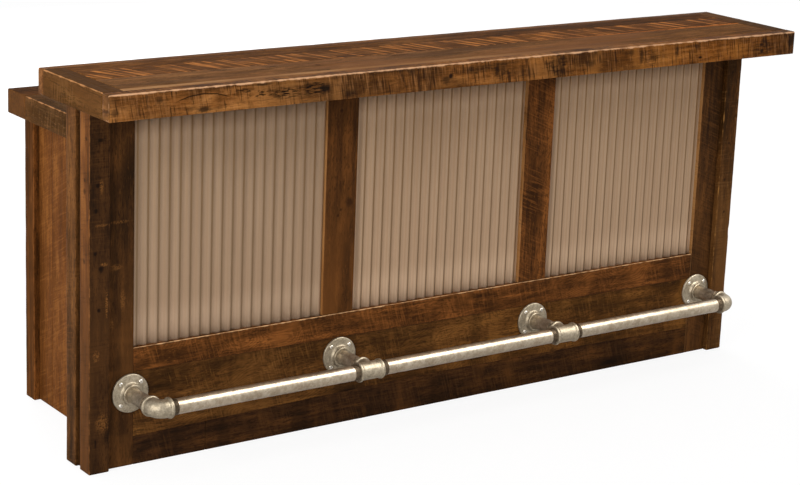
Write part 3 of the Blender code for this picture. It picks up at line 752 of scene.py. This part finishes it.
# Rubbed stripes along the front plank: beside its seam, and behind the front arris
SEAM_STRIPE = (-0.2450, 0.0065, 0.25, 0.75, 0.85, (226, 128, 50))
ARRIS_STRIPE = (-0.3880, 0.0180, 0.75, -0.15, 0.75, (196, 146, 98))
REAR_LOOK = {"blotch": 1.0, "cracks": 0.9, "edge": (150, 90, 48)}
REAR_LOOK["cast"] = ((0.80, 0.75, 0.58), (0.62, 0.55, 0.38))
MIDDLE_LOOK = {"saws": (RAKED_MARKS,), "cracks": 0.6, "edge": (188, 108, 50)}
MIDDLE_LOOK["cast"] = ((1.0, 0.94, 0.76), (0.82, 0.68, 0.38))
FRONT_LOOK = {"cracks": 0.9, "tint": (120, 76, 42), "edge": (168, 98, 52)}
FRONT_LOOK["cast"] = ((1.05, 1.0, 0.80), (0.88, 0.76, 0.44))
FRONT_LOOK["stripes"] = (SEAM_STRIPE, ARRIS_STRIPE)
BAR_PLANK_LOOKS = {
    "rear": ("brown", REAR_LOOK),
    "middle": ("brown", MIDDLE_LOOK),
    "front": ("grey", FRONT_LOOK),
}
for number, (place, (family, look)) in enumerate(BAR_PLANK_LOOKS.items(), start=7):
    names = f"bar_{place}_board_top", f"bar_{place}_plank", "x", number
    look |= {"bare": PLANK_ARRISES[place], "sheen": 0.01}
    board(*names, f"{place}_bar_plank_wood", family, **look)

# Lower counter
COUNTER_MARKS = {"across": (1.0, 0.35, 0.0), "pitch": 0.010, "strength": 0.45, "cover": 0.42}
board(
    "counter_rear_board", "counter_rear_edge", "x", 11, "counter_rear_wood", "russet",
    wear=THICK_WEAR, bare=(0.9, 0.15, 0.1, 0.4), bare_ends=(0.35, 0.35), saws=(COUNTER_MARKS,),
    edge=(186, 124, 74), end_tone=(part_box("counter_rear_edge")[1].x, (88, 57, 30)),
    knots=0.15, sheen=0.01,
)
for number, side in enumerate(SIDES, start=12):
    names = f"counter_{side}_end_board", f"counter_{side}_end", "y", number
    board(
        *names, f"{side}_counter_end_wood", "olive", THICK_WEAR,
        bare=END_ARRISES[side], bare_ends=(0, 0), saws=(CROSS_MARKS,), tint=(106, 69, 36),
        edge=(196, 138, 90), flecks=0.8, sheen=0.01,
    )
COUNTER_PLANK_LOOKS = {
    "front": ("umber", {"cracks": 0.8}),
    "middle": ("grey", {"tint": (112, 72, 44), "saws": (COUNTER_MARKS,)}),
    "rear": ("tan", {"saws": (COUNTER_MARKS,), "knots": 0.15}),
}
for number, (place, (family, look)) in enumerate(COUNTER_PLANK_LOOKS.items(), start=14):
    names = f"counter_{place}_board_top", f"counter_{place}_plank", "x", number
    board(*names, f"{place}_counter_plank_wood", family, bare=(0.15, 0.15, 0, 0), **look)
board("splash_board_worn", "splash_board", "x", 17, "splash_wood", "umber", knots=0.15)

# Corner posts and the posts behind them
POST_MARKS = {"across": (0.0, 0.25, 1.0), "pitch": 0.008, "strength": 0.35, "cover": 0.46}
LEFT_POST_SPOTS = knot_spots(
    "y", post_face,
    (-1112, 791, 7, 7, 90), (-1118, 724, 6, 7, 90), (-1119, 610, 6, 7, 90), (-1103, 567, 9, 10, 90),
    (-1105, 910, 10, 6, 90), (-1108, 455, 6, 7, 90), (-1118, 87, 4, 14, 80),
)
LEFT_POST_SPOTS += knot_spots(
    "x", post_side,
    (-234, 914, 6, 6, 60), (-226, 802, 6, 6, 60), (-226, 772, 7, 10, 60), (-223, 585, 6, 8, 60),
)
LEFT_POST_NICKS = knot_spots(
    "y", post_face,
    (-1100, 684, 22, 4, 40), (-1094, 578, 12, 5, 60), (-1086, 470, 4, 40, 70),
    (-1116, 330, 10, 18, 50), (-1098, 140, 20, 30, 50), (-1102, 788, 6, 20, 50),
)
STILE_NICKS = knot_spots(
    "y", face_low,
    (-1040, 682, 34, 5, 35), (-1050, 560, 18, 8, 45), (-1030, 470, 8, 30, 45),
    (-1062, 405, 6, 16, 50),
)
RIGHT_POST_SPOTS = knot_spots(
    "y", post_face,
    (1101, 913, 5, 5, 60), (1107, 684, 5, 5, 60), (1100, 566, 5, 5, 60), (1108, 460, 5, 5, 60),
)
RIGHT_POST_CAST = (0.95, 0.82, 0.62)
# The left post's faces that look left or right take amber tones as painted light
board(
    "left_front_post", "left_corner_post", "z", 21, "left_post_wood", "dark", POST_WEAR,
    bare=(0.2, 0.5, 0.75, 0.6), bare_ends=(0.3, 0.1), saws=(POST_MARKS,), spots=LEFT_POST_SPOTS,
    nicks=LEFT_POST_NICKS, side="amber", knots=0.1, scuffed=0.5, rubbed=0.5,
)
board(
    "right_front_post", "right_corner_post", "z", 22, "right_post_wood", "olive", POST_WEAR,
    bare=(0.5, 0.2, 0.6, 0.9), bare_ends=(0.3, 0.1), chips=((0.394, 3, 0.012, 0.006),),
    saws=(POST_MARKS,), spots=RIGHT_POST_SPOTS, cast=(RIGHT_POST_CAST, RIGHT_POST_CAST),
    edge=(170, 120, 62), contrast=1.3, flecks=0.9, scuffed=0.6, rubbed=0.9,
)
BACK_POST_ARRISES = {"left": (0.3, 0.7, 0.5, 0.1), "right": (0.7, 0.3, 0.1, 0.5)}
for number, side in enumerate(SIDES, start=23):
    names = f"{side}_back_post", f"{side}_rear_wall_post", "z", number, f"{side}_back_post_wood"
    look = {"bare": BACK_POST_ARRISES[side], "bare_ends": (0.2, 0.1)}
    board(*names, "hazel", POST_WEAR, saws=(POST_MARKS,), knots=0.1, **look)

# Stiles, top rail and base boards
CURVED_MARKS = {"across": (0.45, 0.0, 1.0), "pitch": 0.007, "strength": 0.42, "cover": 0.36}
MID_STILE_SPOTS = knot_spots(
    "y", face_low,
    (-356, 917, 6, 6, 60), (-320, 653, 13, 14, 60), (-349, 634, 5, 5, 60), (-358, 618, 5, 5, 60),
)
# Each stile's family, the wear of its arris beside the opening, and its look
LEFT_STILE_LOOK = {"knots": 0.1, "scuffed": 0.4, "bands": 0.3, "nicks": STILE_NICKS}
STILE_LOOKS = {
    "left_end_stile": ("umber", 0.12, LEFT_STILE_LOOK),
    "mid_stile_1": ("russet", 0.5, {"spots": MID_STILE_SPOTS, "scuffed": 0.65}),
    "mid_stile_2": ("red", 0.5, {"saws": (CURVED_MARKS,), "blotch": 0.9, "curl": 0.25}),
    "right_end_stile": ("umber", 0.5, {"saws": (CURVED_MARKS,), "scuffed": 0.3}),
}
# Each stile's faces that look left or right take the pale tones as painted light
for number, (node, (family, inner, look)) in enumerate(STILE_LOOKS.items(), start=25):
    names = f"{node}_worn", node, "z", number, f"{node}_wood"
    board(*names, family, bare=(0.1, 0.1, inner, 0.12), side="pale", **look)
board("top_rail_worn", "top_rail", "x", 30, "top_rail_wood", "umber")

# Wavering seams between the base boards, as (x, lift)
UPPER_SEAM = ((-0.997, 0.008), (-0.30, 0.003), (0.35, -0.002), (0.997, -0.006))
LOWER_SEAM = ((-0.997, -0.002), (-0.35, 0.010), (0.0, 0.015), (0.45, 0.010), (0.997, 0.003))
LEVEL = ((0, 0),)
BASE_MARKS = {"across": (1.0, 0.0, 0.3), "pitch": 0.009, "strength": 0.38, "cover": 0.42}
BASE_LOOK = {"saws": (BASE_MARKS,), "bands": 0.45, "curl": 0.3, "blotch": 0.4}
board(
    "base_board_top", "base_board_upper", "x", 31, "upper_base_wood", "red", UPPER_BASE_WEAR,
    shifts={1: (UPPER_SEAM, LEVEL)}, bare=(1, 0.95, 0.1, 0.1), bare_ends=(0, 0),
    edge=(225, 178, 128), rubbed=0.9, **BASE_LOOK,
)
board(
    "base_board_middle_worn", "base_board_middle", "x", 32, "middle_base_wood", "green",
    shifts={1: (LOWER_SEAM, UPPER_SEAM)}, knots=0.3, cast=((0.92, 0.91, 0.92), (1.24, 1.20, 1.05)),
    **BASE_LOOK,
)
LOWER_CAST = ((1.05, 1.0, 0.9), (1.3, 1.2, 0.9))
lower_look = {"knots": 0.1, "saws": (BASE_MARKS,), "bands": 0.5, "cast": LOWER_CAST}
lower_base_wood = barnwood("lower_base_wood", "x", "black", 33, **lower_look)
low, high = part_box("base_board_lower")
LOWER_BUTT = -0.773
for number, (start, end) in enumerate(((low.x, LOWER_BUTT), (LOWER_BUTT + BUTT_GAP, high.x)), 33):
    box = (Vector((start, low.y, low.z)), Vector((end, high.y, high.z)))
    names = f"base_board_lower_{number - 32}", lower_base_wood, "base_board_lower", "x"
    worn_board(*names, seed=number, box=box, shifts={1: (LEVEL, LOWER_SEAM)})

# Cabinet
PANEL_MARKS = {"across": (0.0, 0.5, 1.0), "pitch": 0.008, "strength": 0.42, "cover": 0.34}
NARROW_BOARD_START = 0.268
CABINET_POST_ARRISES = {"left": (0.4, 0.5, 0.85, 0.1), "right": (0.5, 0.4, 0.1, 0.85)}
for number, side in enumerate(SIDES, start=41):
    saws = (PANEL_MARKS,)
    wide = barnwood(f"{side}_panel_wood", "z", "orange", number, saws)
    narrow = barnwood(f"{side}_narrow_panel_wood", "z", "orange", number + 2, saws)
    node = f"{side}_end_panel"
    low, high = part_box(node)
    for place, wood, start, end in (
        ("wide", wide, low.y, NARROW_BOARD_START),
        ("narrow", narrow, NARROW_BOARD_START + BUTT_GAP, high.y),
    ):
        box = (Vector((low.x, start, low.z)), Vector((high.x, end, high.z)))
        worn_board(f"{side}_end_{place}_board", wood, node, "z", PANEL_WEAR, number, box)
    names = f"{side}_cabinet_corner", f"{side}_cabinet_post", "z", number + 4
    # The post's faces that look left or right take darker russet tones as painted shade
    look = {"side": "russet", "edge": (140, 86, 44), "rubbed": 0.5, "sheen": 0.01}
    look |= {"bare": CABINET_POST_ARRISES[side], "bare_ends": (0.2, 0.1)}
    board(*names, f"{side}_cabinet_post_wood", "red", CABINET_POST_WEAR, **look)
CABINET_LOOKS = {"cabinet_floor": ("x", "brown"), "kick_board": ("x", "dark")}
CABINET_LOOKS |= {f"divider_{number}": ("z", "brown") for number in (1, 2)}
CABINET_LOOKS |= {f"shelf_{number}": ("x", "tan") for number in (1, 2, 3)}
CABINET_LOOKS["cabinet_rear_rail"] = ("x", "umber")
OPEN = {"bare": (1, 1, 1, 1), "bare_ends": (1, 1)}
for number, (node, (along, family)) in enumerate(CABINET_LOOKS.items(), start=51):
    board(f"{node}_worn", node, along, number, f"{node}_wood", family, knots=0.15, **OPEN)

# Plain panels inside, which keep their solids
PLAIN_PANELS = {
    "wall_core_panel": "dark",
    "front_backing_panel": "plain",
    "bar_underlay": "plain",
    "counter_underlay": "plain",
}
for number, (node, family) in enumerate(PLAIN_PANELS.items(), start=61):
    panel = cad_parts[node]
    panel.data.materials.clear()
    panel.data.materials.append(barnwood(f"{node}_wood", "x", family, number, cracks=0.1))


# Corrugated sheets


def sheet_metal(name, first_groove, shade_share, level):
    """Matt beige zinc, with painted shade lines down the same side of every groove, and painted
    light on the shaded slopes, at both ends and low down.
    """
    recipe = Recipe(name)
    place = recipe.locate()
    broad = recipe.noise(recipe.vector("MULTIPLY", place, (3.0, 3.0, 1.6)), 1.0, 3.0)
    grain = recipe.noise(place, 220.0, 3.0)
    drips = recipe.noise(recipe.vector("MULTIPLY", place, (150.0, 20.0, 2.0)), 1.0, 3.0)
    value = recipe.weigh((broad, 0.4), (drips, 0.45), (grain, 0.15))
    value = recipe.remap(value, 0.38, 0.62)
    colour = recipe.mix(value, tone(*SHEET_TONES_AND_LIGHT[0]), tone(*SHEET_TONES_AND_LIGHT[1]))
    height = recipe.measure("z")
    # Painted light: paler toward the bottom, so the top stays darker as painted shade under the bar
    low = recipe.remap(height, 0.90, 0.36)
    colour = recipe.mix(recipe.times(low, 0.5), colour, tone(*SHEET_TONES_AND_LIGHT[2]))
    # Painted light: paler at the foot and at the head, against the shade beside the ledge and under
    # the bar
    foot = recipe.remap(height, 0.46, 0.335, 0.0, 0.62)
    head = recipe.remap(height, 0.86, 0.95, 0.0, 0.45)
    pale = recipe.maths("MAXIMUM", foot, head)
    colour = recipe.mix(pale, colour, tone(*SHEET_END_LIGHT))
    across = recipe.measure("x")
    turns = recipe.maths("DIVIDE", recipe.less(across, first_groove), SHEET_PITCH)
    colour = recipe.mix(1.0, colour, (level, level, level, 1.0), "MULTIPLY")
    # Painted light: the slopes that face away from the light are made paler, up to SLOPE_LIFT
    lit = recipe.maths("PINGPONG", recipe.less(turns, 0.75), 0.5)
    lit = recipe.remap(lit, 0.40, 0.10, 1.0, SLOPE_LIFT)
    lit = recipe.step("ShaderNodeCombineXYZ", {0: lit, 1: lit, 2: lit})
    colour = recipe.mix(1.0, colour, lit, "MULTIPLY")
    # Lines of painted shade down every groove, toned from high to low
    for middle, half, share in SHADE_LINES:
        away = recipe.maths("PINGPONG", recipe.less(turns, middle), 0.5)
        line = recipe.remap(away, half, half * 0.35, 0.0, share * shade_share)
        painted_shade = recipe.mix(low, tone(*SHADE_LINE_TONES[0]), tone(*SHADE_LINE_TONES[1]))
        colour = recipe.mix(line, colour, painted_shade)
    relief = recipe.total(grain, drips)
    roughness = recipe.remap(grain, 0.3, 0.7, 0.48, 0.56)
    levels = {"Metallic": 0.2, "Specular_IOR_Level": 0.25}
    return recipe.finish(colour, roughness, relief, bump=0.05, relief=0.0004, **levels)


def corrugated_tree(material):
    sizes = {"Width": 0.6, "Height": 0.6, "Pitch": SHEET_PITCH, "Depth": SHEET_DEPTH}
    sizes |= {"First Groove": 0.03, "Columns": 100, "Rows": 9}
    shape = ShapeTree("corrugated_sheet", sizes)
    size = shape.size
    spread = {"Size X": size["Width"], "Size Y": size["Height"]}
    spread |= {"Vertices X": size["Columns"], "Vertices Y": size["Rows"]}
    grid = shape.add("GeometryNodeMeshGrid", spread).outputs["Mesh"]
    place = shape.step("GeometryNodeInputPosition")
    across = shape.add("ShaderNodeSeparateXYZ", {0: place}).outputs["X"]
    from_left = shape.total(across, shape.times(size["Width"], 0.5))
    from_groove = shape.less(from_left, size["First Groove"])
    turns = shape.maths("DIVIDE", from_groove, size["Pitch"])
    wave = shape.maths("COSINE", shape.times(turns, 2 * math.pi))
    lift = shape.times(wave, shape.times(size["Depth"], -0.5))
    offset = shape.step("ShaderNodeCombineXYZ", {"Z": lift})
    waved = shape.step("GeometryNodeSetPosition", {"Geometry": grid, "Offset": offset})
    smooth = shape.step("GeometryNodeSetShadeSmooth", {0: waved})
    return shape.close(smooth, material)


for index, first_groove in enumerate(FIRST_GROOVES, start=1):
    node = f"corrugated_sheet_{index}"
    low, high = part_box(node)
    shares = SHADE_LINE_SHARES[index - 1], SHEET_LEVELS[index - 1]
    zinc = sheet_metal(f"corrugated_zinc_{index}", low.x + first_groove + SHEET_LAP, *shares)
    width = high.x - low.x
    sizes = {"Width": width, "Height": high.z - low.z, "First Groove": first_groove + SHEET_LAP}
    sizes["Columns"] = round(width / SHEET_PITCH * STEPS_PER_PITCH)
    sheet = grow(f"corrugated_zinc_{index}", corrugated_tree(zinc), sizes)
    upright = Matrix.Rotation(QUARTER, 4, "X")
    sheet.data.transform(Matrix.Translation((low + high) / 2) @ upright)
    reshape(sheet, "metal", "SOLIDIFY", thickness=SHEET_METAL, offset=0)
    dress(settle(sheet), zinc, node)


# Foot rail


def galvanised(name, low, high, rough_low, rough_high, spangle=60.0, bump=0.2):
    """Zinc-dipped iron: mottled spangle, dull patches and a cast or drawn grain."""
    recipe = Recipe(name)
    place = recipe.locate()
    cells = recipe.add("ShaderNodeTexVoronoi", {"Vector": place, "Scale": spangle * 3})
    shade = recipe.vector("DOT_PRODUCT", cells.outputs["Color"], (0.33, 0.33, 0.34))
    cloud = recipe.noise(place, spangle, 4.0)
    grain = recipe.noise(place, 900.0, 3.0)
    tone_layer = recipe.noise(place, 14.0, 4.0)
    value = recipe.weigh((shade, 0.25), (cloud, 0.45), (tone_layer, 0.3))
    value = recipe.remap(value, 0.32, 0.68)
    colour = recipe.ramp(value, ((0.0, tone(*low)), (1.0, tone(*high))))
    roughness = recipe.remap(cloud, 0.3, 0.7, rough_low, rough_high)
    height = recipe.weigh((cloud, 0.6), (grain, 0.4))
    return recipe.finish(colour, roughness, height, bump=bump, relief=0.0006, Metallic=0.9)


cast_iron = galvanised("galvanised_fitting", (130, 118, 98), (178, 165, 143), 0.44, 0.54, 90.0)
pipe_zinc = galvanised("galvanised_pipe", (150, 134, 112), (186, 172, 152), 0.32, 0.37, 60.0, 0.02)
nipple_zinc = galvanised("galvanised_nipple", (156, 142, 122), (200, 186, 164), 0.34, 0.44, 80.0)
thread_iron = galvanised("dark_thread", (70, 58, 44), (116, 100, 80), 0.4, 0.55, 80.0)
screw_zinc = galvanised("bright_screw", (196, 188, 174), (232, 226, 214), 0.2, 0.3, 120.0)


def swept_mesh(name, stations):
    """A closed round shape along (place, direction, radius) stations."""
    shape = bmesh.new()
    rings = []
    up = Vector((0, 0, 1))
    for place, direction, radius in stations:
        across = Vector(direction).normalized().cross(up).normalized()
        ring = []
        for n in range(TURNED_SIDES):
            angle = 2 * math.pi * n / TURNED_SIDES
            reach = up * math.cos(angle) + across * math.sin(angle)
            ring.append(shape.verts.new(Vector(place) + radius * reach))
        rings.append(ring)
    return closed_mesh(name, shape, rings, 1e-7, 40)


# The band round a fitting's mouth, as (distance back from the mouth, radius)
BAND_PROFILE = (
    (0.0000, SOCKET_RADIUS + 0.0006), (0.0000, BAND_RADIUS - 0.0016),
    (0.0006, BAND_RADIUS - 0.0004), (0.0018, BAND_RADIUS), (BAND_WIDTH - 0.0022, BAND_RADIUS),
    (BAND_WIDTH - 0.0010, BAND_RADIUS - 0.0006), (BAND_WIDTH, BAND_RADIUS - 0.0024),
    (BAND_WIDTH + 0.0012, FITTING_RADIUS + 0.0007), (BAND_WIDTH + 0.0030, FITTING_RADIUS),
)


def mouth_stations(centre, direction, inward):
    """A banded mouth, listed from its rim inwards, or outwards where inward is false."""
    direction = Vector(direction)
    facing = -direction if inward else direction
    stations = []
    for back, radius in BAND_PROFILE:
        stations.append((centre + direction * (FITTING_REACH - back), facing, radius))
    return stations if inward else stations[::-1]


def elbow_mesh(name, centre, one, two):
    """A quarter bend with banded mouths that face two directions."""
    stations = mouth_stations(centre, one, True)
    steps = 14
    middle = centre + (one + two) * BEND_RADIUS
    for n in range(steps + 1):
        angle = math.pi / 2 * n / steps
        place = middle - two * BEND_RADIUS * math.cos(angle) - one * BEND_RADIUS * math.sin(angle)
        heading = two * math.sin(angle) - one * math.cos(angle)
        stations.append((place, heading, FITTING_RADIUS))
    stations += mouth_stations(centre, two, False)
    return swept_mesh(name, stations)


def tee_piece(name, centre, run, branch):
    """A banded tee, its branch blended softly into its run."""
    through = mouth_stations(centre, -run, True) + mouth_stations(centre, run, False)
    tee = link_mesh(name, swept_mesh(name, through))
    side = mouth_stations(centre, branch, True) + [(centre, -branch, FITTING_RADIUS)]
    stem = link_mesh(name + "_stem", swept_mesh(name + "_stem", side))
    reshape(tee, "join", "BOOLEAN", operation="UNION", object=stem)
    reshape(tee, "cast", "REMESH", mode="VOXEL", voxel_size=CAST_GRAIN, use_smooth_shade=True)
    reshape(tee, "soft", "SMOOTH", factor=0.5, iterations=6)
    settle(tee)
    bpy.data.objects.remove(stem)
    return tee


def flange_mesh(name, centre):
    """A round floor flange with a stepped hub, facing the customer."""
    profile = (
        (0.0000, FLANGE_RADIUS), (FLANGE_PLATE - 0.0032, FLANGE_RADIUS),
        (FLANGE_PLATE - 0.0018, FLANGE_RADIUS - 0.0008),
        (FLANGE_PLATE - 0.0008, FLANGE_RADIUS - 0.0030), (FLANGE_PLATE, HUB_RADIUS + 0.0062),
        (FLANGE_PLATE + 0.0008, HUB_RADIUS + 0.0036), (FLANGE_PLATE + 0.0030, HUB_RADIUS + 0.0018),
        (HUB_HEIGHT - 0.0065, HUB_RADIUS - 0.0004), (HUB_HEIGHT - 0.0060, HUB_RADIUS),
        (HUB_HEIGHT - 0.0012, HUB_RADIUS), (HUB_HEIGHT, HUB_RADIUS - 0.0012),
        (HUB_HEIGHT, SOCKET_RADIUS + 0.0010), (HUB_HEIGHT - 0.0012, SOCKET_RADIUS),
    )
    return swept_mesh(name, [(centre + OUT * height, OUT, radius) for height, radius in profile])


def thread_tree(material):
    """Rings side by side along +Z, which show as the turns of a pipe thread."""
    sizes = {"Radius": PIPE_RADIUS, "Pitch": THREAD_PITCH}
    sizes |= {"Turns": THREAD_TURNS, "Ridge": THREAD_RIDGE}
    shape = ShapeTree("pipe_thread", sizes)
    size = shape.size
    circle = "GeometryNodeCurvePrimitiveCircle"
    around = shape.step(circle, {"Resolution": 48, "Radius": size["Radius"]})
    ridge = shape.step(circle, {"Resolution": 6, "Radius": size["Ridge"]})
    ring = shape.step("GeometryNodeCurveToMesh", {0: around, "Profile Curve": ridge})
    step = shape.step("ShaderNodeCombineXYZ", {"Z": size["Pitch"]})
    line = shape.step("GeometryNodeMeshLine", {"Count": size["Turns"], "Offset": step})
    copies = {"Points": line, "Instance": ring}
    turns = shape.step("GeometryNodeInstanceOnPoints", copies)
    return shape.close(turns, material)


def screw_tree(material):
    """Round heads with crossed recesses, spaced evenly round a circle and facing +Z."""
    sizes = {"Circle Radius": SCREW_CIRCLE, "Count": SCREWS_PER_FLANGE}
    sizes |= {"Head Radius": SCREW_HEAD_RADIUS, "Head Height": SCREW_HEAD_HEIGHT}
    sizes |= {"Recess Width": RECESS_WIDTH, "Recess Length": RECESS_LENGTH}
    shape = ShapeTree("flange_screws", sizes)
    size = shape.size
    vector = "ShaderNodeCombineXYZ"
    move = "GeometryNodeTransform"
    round_ball = {"Segments": 28, "Rings": 14, "Radius": size["Head Radius"]}
    ball = shape.step("GeometryNodeMeshUVSphere", round_ball)
    squat = shape.maths("DIVIDE", size["Head Height"], size["Head Radius"])
    squat = shape.step(vector, {"X": 1.0, "Y": 1.0, "Z": squat})
    head = shape.step(move, {"Geometry": ball, "Scale": squat})
    lift = shape.step(vector, {"Z": size["Head Height"]})
    for along, across in (("X", "Y"), ("Y", "X")):
        bar = {along: size["Recess Length"], across: size["Recess Width"], "Z": size["Head Height"]}
        bar = shape.step("GeometryNodeMeshCube", {"Size": shape.step(vector, bar)})
        bar = shape.step(move, {"Geometry": bar, "Translation": lift})
        head = shape.step("GeometryNodeMeshBoolean", {0: head, 1: bar}, operation="DIFFERENCE")
    spread = {"Vertices": size["Count"], "Radius": size["Circle Radius"]}
    spread = shape.step("GeometryNodeMeshCircle", spread)
    turned = shape.step(move, {"Geometry": spread, "Rotation": (0, 0, QUARTER / 2)})
    turns = {0: (0, 0, 0), 1: (0, 0, QUARTER), "Seed": 5}
    chance = shape.step("FunctionNodeRandomValue", turns, data_type="FLOAT_VECTOR")
    copies = {"Points": turned, "Instance": head, "Rotation": chance}
    heads = shape.step("GeometryNodeInstanceOnPoints", copies)
    return shape.close(heads, material)


def gathered(name, copies):
    """One mesh out of (mesh, place) copies."""
    shape = bmesh.new()
    for mesh, matrix in copies:
        copy = mesh.copy()
        copy.transform(matrix)
        shape.from_mesh(copy)
        bpy.data.meshes.remove(copy)
    joined = bpy.data.meshes.new(name)
    shape.to_mesh(joined)
    shape.free()
    return joined


def piece_of(name, mesh, material, node):
    return dress(link_mesh(name, mesh), material, node)


OUT, BACK, LEFT, RIGHT = (Vector(way) for way in ((0, -1, 0), (0, 1, 0), (-1, 0, 0), (1, 0, 0)))
TURN_TO = {"x": (QUARTER, "Y"), "-x": (-QUARTER, "Y"), "y": (-QUARTER, "X"), "-y": (QUARTER, "X")}
TURN_TO = {way: Matrix.Rotation(turn, 4, axis) for way, (turn, axis) in TURN_TO.items()}
plate_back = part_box("rail_flange_1")[1].y
rail_low, rail_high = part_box("rail_pipe_1")
rail_y, rail_z = (rail_low.y + rail_high.y) / 2, (rail_low.z + rail_high.z) / 2
thread = grow("thread_pattern", thread_tree(thread_iron), {})
screws = grow("screw_pattern", screw_tree(screw_zinc), {})
thread_copies, screw_copies = [], []
for number in range(1, 5):
    low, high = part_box(f"rail_flange_{number}")
    x = (low.x + high.x) / 2
    place = Vector((x, rail_y, rail_z))
    foot = Vector((x, plate_back, rail_z))
    name = f"wall_flange_{number}"
    piece_of(name, flange_mesh(name, foot), cast_iron, f"rail_flange_{number}")
    low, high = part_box(f"rail_nipple_{number}")
    ends = [(Vector((x, y, rail_z)), OUT, PIPE_RADIUS) for y in (high.y, low.y)]
    name = f"short_pipe_{number}"
    piece_of(name, swept_mesh(name, ends), nipple_zinc, f"rail_nipple_{number}")
    if number in (1, 4):
        side, way = ("left", RIGHT) if number == 1 else ("right", LEFT)
        name = f"{side}_cast_elbow"
        piece_of(name, elbow_mesh(name, place, BACK, way), cast_iron, f"{side}_rail_elbow")
    else:
        tee = tee_piece(f"cast_tee_{number - 1}", place, RIGHT, BACK)
        dress(tee, cast_iron, f"rail_tee_{number - 1}")
    face = Matrix.Translation((x, plate_back - FLANGE_PLATE, rail_z)) @ TURN_TO["-y"]
    screw_copies.append((screws.data, face))
    mouths = [("y", BACK)]
    if number > 1:
        mouths.append(("-x", LEFT))
    if number < 4:
        mouths.append(("x", RIGHT))
    for way, direction in mouths:
        mouth = Matrix.Translation(place + direction * FITTING_REACH) @ TURN_TO[way]
        thread_copies.append((thread.data, mouth))
for number in range(1, 4):
    low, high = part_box(f"rail_pipe_{number}")
    ends = [(Vector((x, rail_y, rail_z)), RIGHT, PIPE_RADIUS) for x in (low.x, high.x)]
    name = f"long_pipe_{number}"
    piece_of(name, swept_mesh(name, ends), pipe_zinc, f"rail_pipe_{number}")
threads = link_mesh("pipe_threads", gathered("pipe_threads", thread_copies))
dress(threads, thread_iron)
heads = link_mesh("flange_screws", gathered("flange_screws", screw_copies))
dress(heads, screw_zinc)
for pattern in (thread, screws):
    bpy.data.objects.remove(pattern)


# Floor, light and camera
CAMERA_PLACE = (-3.56754, -5.04753, 2.14031)
CAMERA_YAW, CAMERA_PITCH, CAMERA_ROLL = -0.61796, 0.25023, -0.03871
LENS, SENSOR, SHIFT_UP = 96.34, 36.0, -0.05
# Lights as (place, aim, sizes, power)
KEY_LIGHT = ((-6.0, -2.4, 2.6), (0, 0, 0.5), (3.0, 3.0), 270.0)
STRIP_LIGHT = ((2.2, -2.0, 3.6), (2.2, -0.4, 0.2), (3.6, 2.6), 255.0)
BACK_LIGHT = ((0.8, 6.5, 1.7), (0, 0, 0.5), (5.0, 2.6), 420.0)
SKY_STRENGTH, WHITE_STRENGTH = 0.70, 1.0
FLOOR_REACH, FLOOR_VEIL, FLOOR_GLOW = 40.0, 0.82, 1.06


def pale_floor():
    mesh = bpy.data.meshes.new("floor")
    corners = [(x * FLOOR_REACH, y * FLOOR_REACH, 0) for x, y in CORNERS]
    mesh.from_pydata(corners, [], [(0, 1, 2, 3)])
    recipe = Recipe("pale_floor")
    recipe.finish((0.9, 0.9, 0.9, 1.0), 0.9)
    seen = recipe.add("ShaderNodeLightPath").outputs["Is Camera Ray"]
    white = recipe.step("ShaderNodeEmission", {"Strength": FLOOR_GLOW})
    layers = {0: recipe.times(seen, FLOOR_VEIL), 1: recipe.shader.outputs[0], 2: white}
    mixed = recipe.step("ShaderNodeMixShader", layers)
    recipe.feed(recipe.tree.nodes["Material Output"].inputs["Surface"], mixed)
    mesh.materials.append(recipe.material)
    link_mesh("floor", mesh)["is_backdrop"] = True


def soft_light(name, place, aim, sizes, power):
    light = bpy.data.lights.new(name, "AREA")
    light.shape = "RECTANGLE"
    light.size, light.size_y = sizes
    light.energy = power
    lamp = bpy.data.objects.new(name, light)
    lamp.location = place
    lamp.rotation_euler = (Vector(aim) - Vector(place)).to_track_quat("-Z", "Y").to_euler()
    bpy.context.scene.collection.objects.link(lamp)
    return lamp


def pale_world():
    """Plain light from all round, which cameras, metal and glass see as white."""
    world = bpy.data.worlds.new("studio")
    world.use_nodes = True
    bpy.context.scene.world = world
    sky = NodeTree()
    sky.tree = world.node_tree
    background = sky.tree.nodes["Background"]
    background.inputs["Color"].default_value = (1, 1, 1, 1)
    rays = sky.add("ShaderNodeLightPath").outputs
    mirrored = sky.maths("MAXIMUM", rays["Is Glossy Ray"], rays["Is Transmission Ray"])
    seen = sky.maths("MAXIMUM", rays["Is Camera Ray"], mirrored)
    levels = {"Value": seen, "To Min": SKY_STRENGTH, "To Max": WHITE_STRENGTH}
    strength = sky.add("ShaderNodeMapRange", levels).outputs["Result"]
    sky.feed(background.inputs["Strength"], strength)


def photo_camera():
    """The camera at the photograph's place, turned by its yaw, pitch down and roll."""
    turn = Matrix.Rotation(CAMERA_YAW, 4, "Z") @ Matrix.Rotation(QUARTER - CAMERA_PITCH, 4, "X")
    turn @= Matrix.Rotation(-CAMERA_ROLL, 4, "Z")
    lens = bpy.data.cameras.new("photo_camera")
    lens.lens, lens.sensor_width, lens.shift_y = LENS, SENSOR, SHIFT_UP
    camera = bpy.data.objects.new("photo_camera", lens)
    camera.matrix_world = Matrix.Translation(CAMERA_PLACE) @ turn
    bpy.context.scene.collection.objects.link(camera)
    bpy.context.scene.camera = camera


pale_floor()
pale_world()
soft_light("key_light", *KEY_LIGHT)
soft_light("strip_light", *STRIP_LIGHT).visible_diffuse = False
soft_light("back_light", *BACK_LIGHT).visible_glossy = False
photo_camera()
bpy.context.scene.view_settings.view_transform = "Standard"

boxes = {"solids": solid_box, "dressed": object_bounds()}
{name: [list(corner) for corner in box] for name, box in boxes.items()}
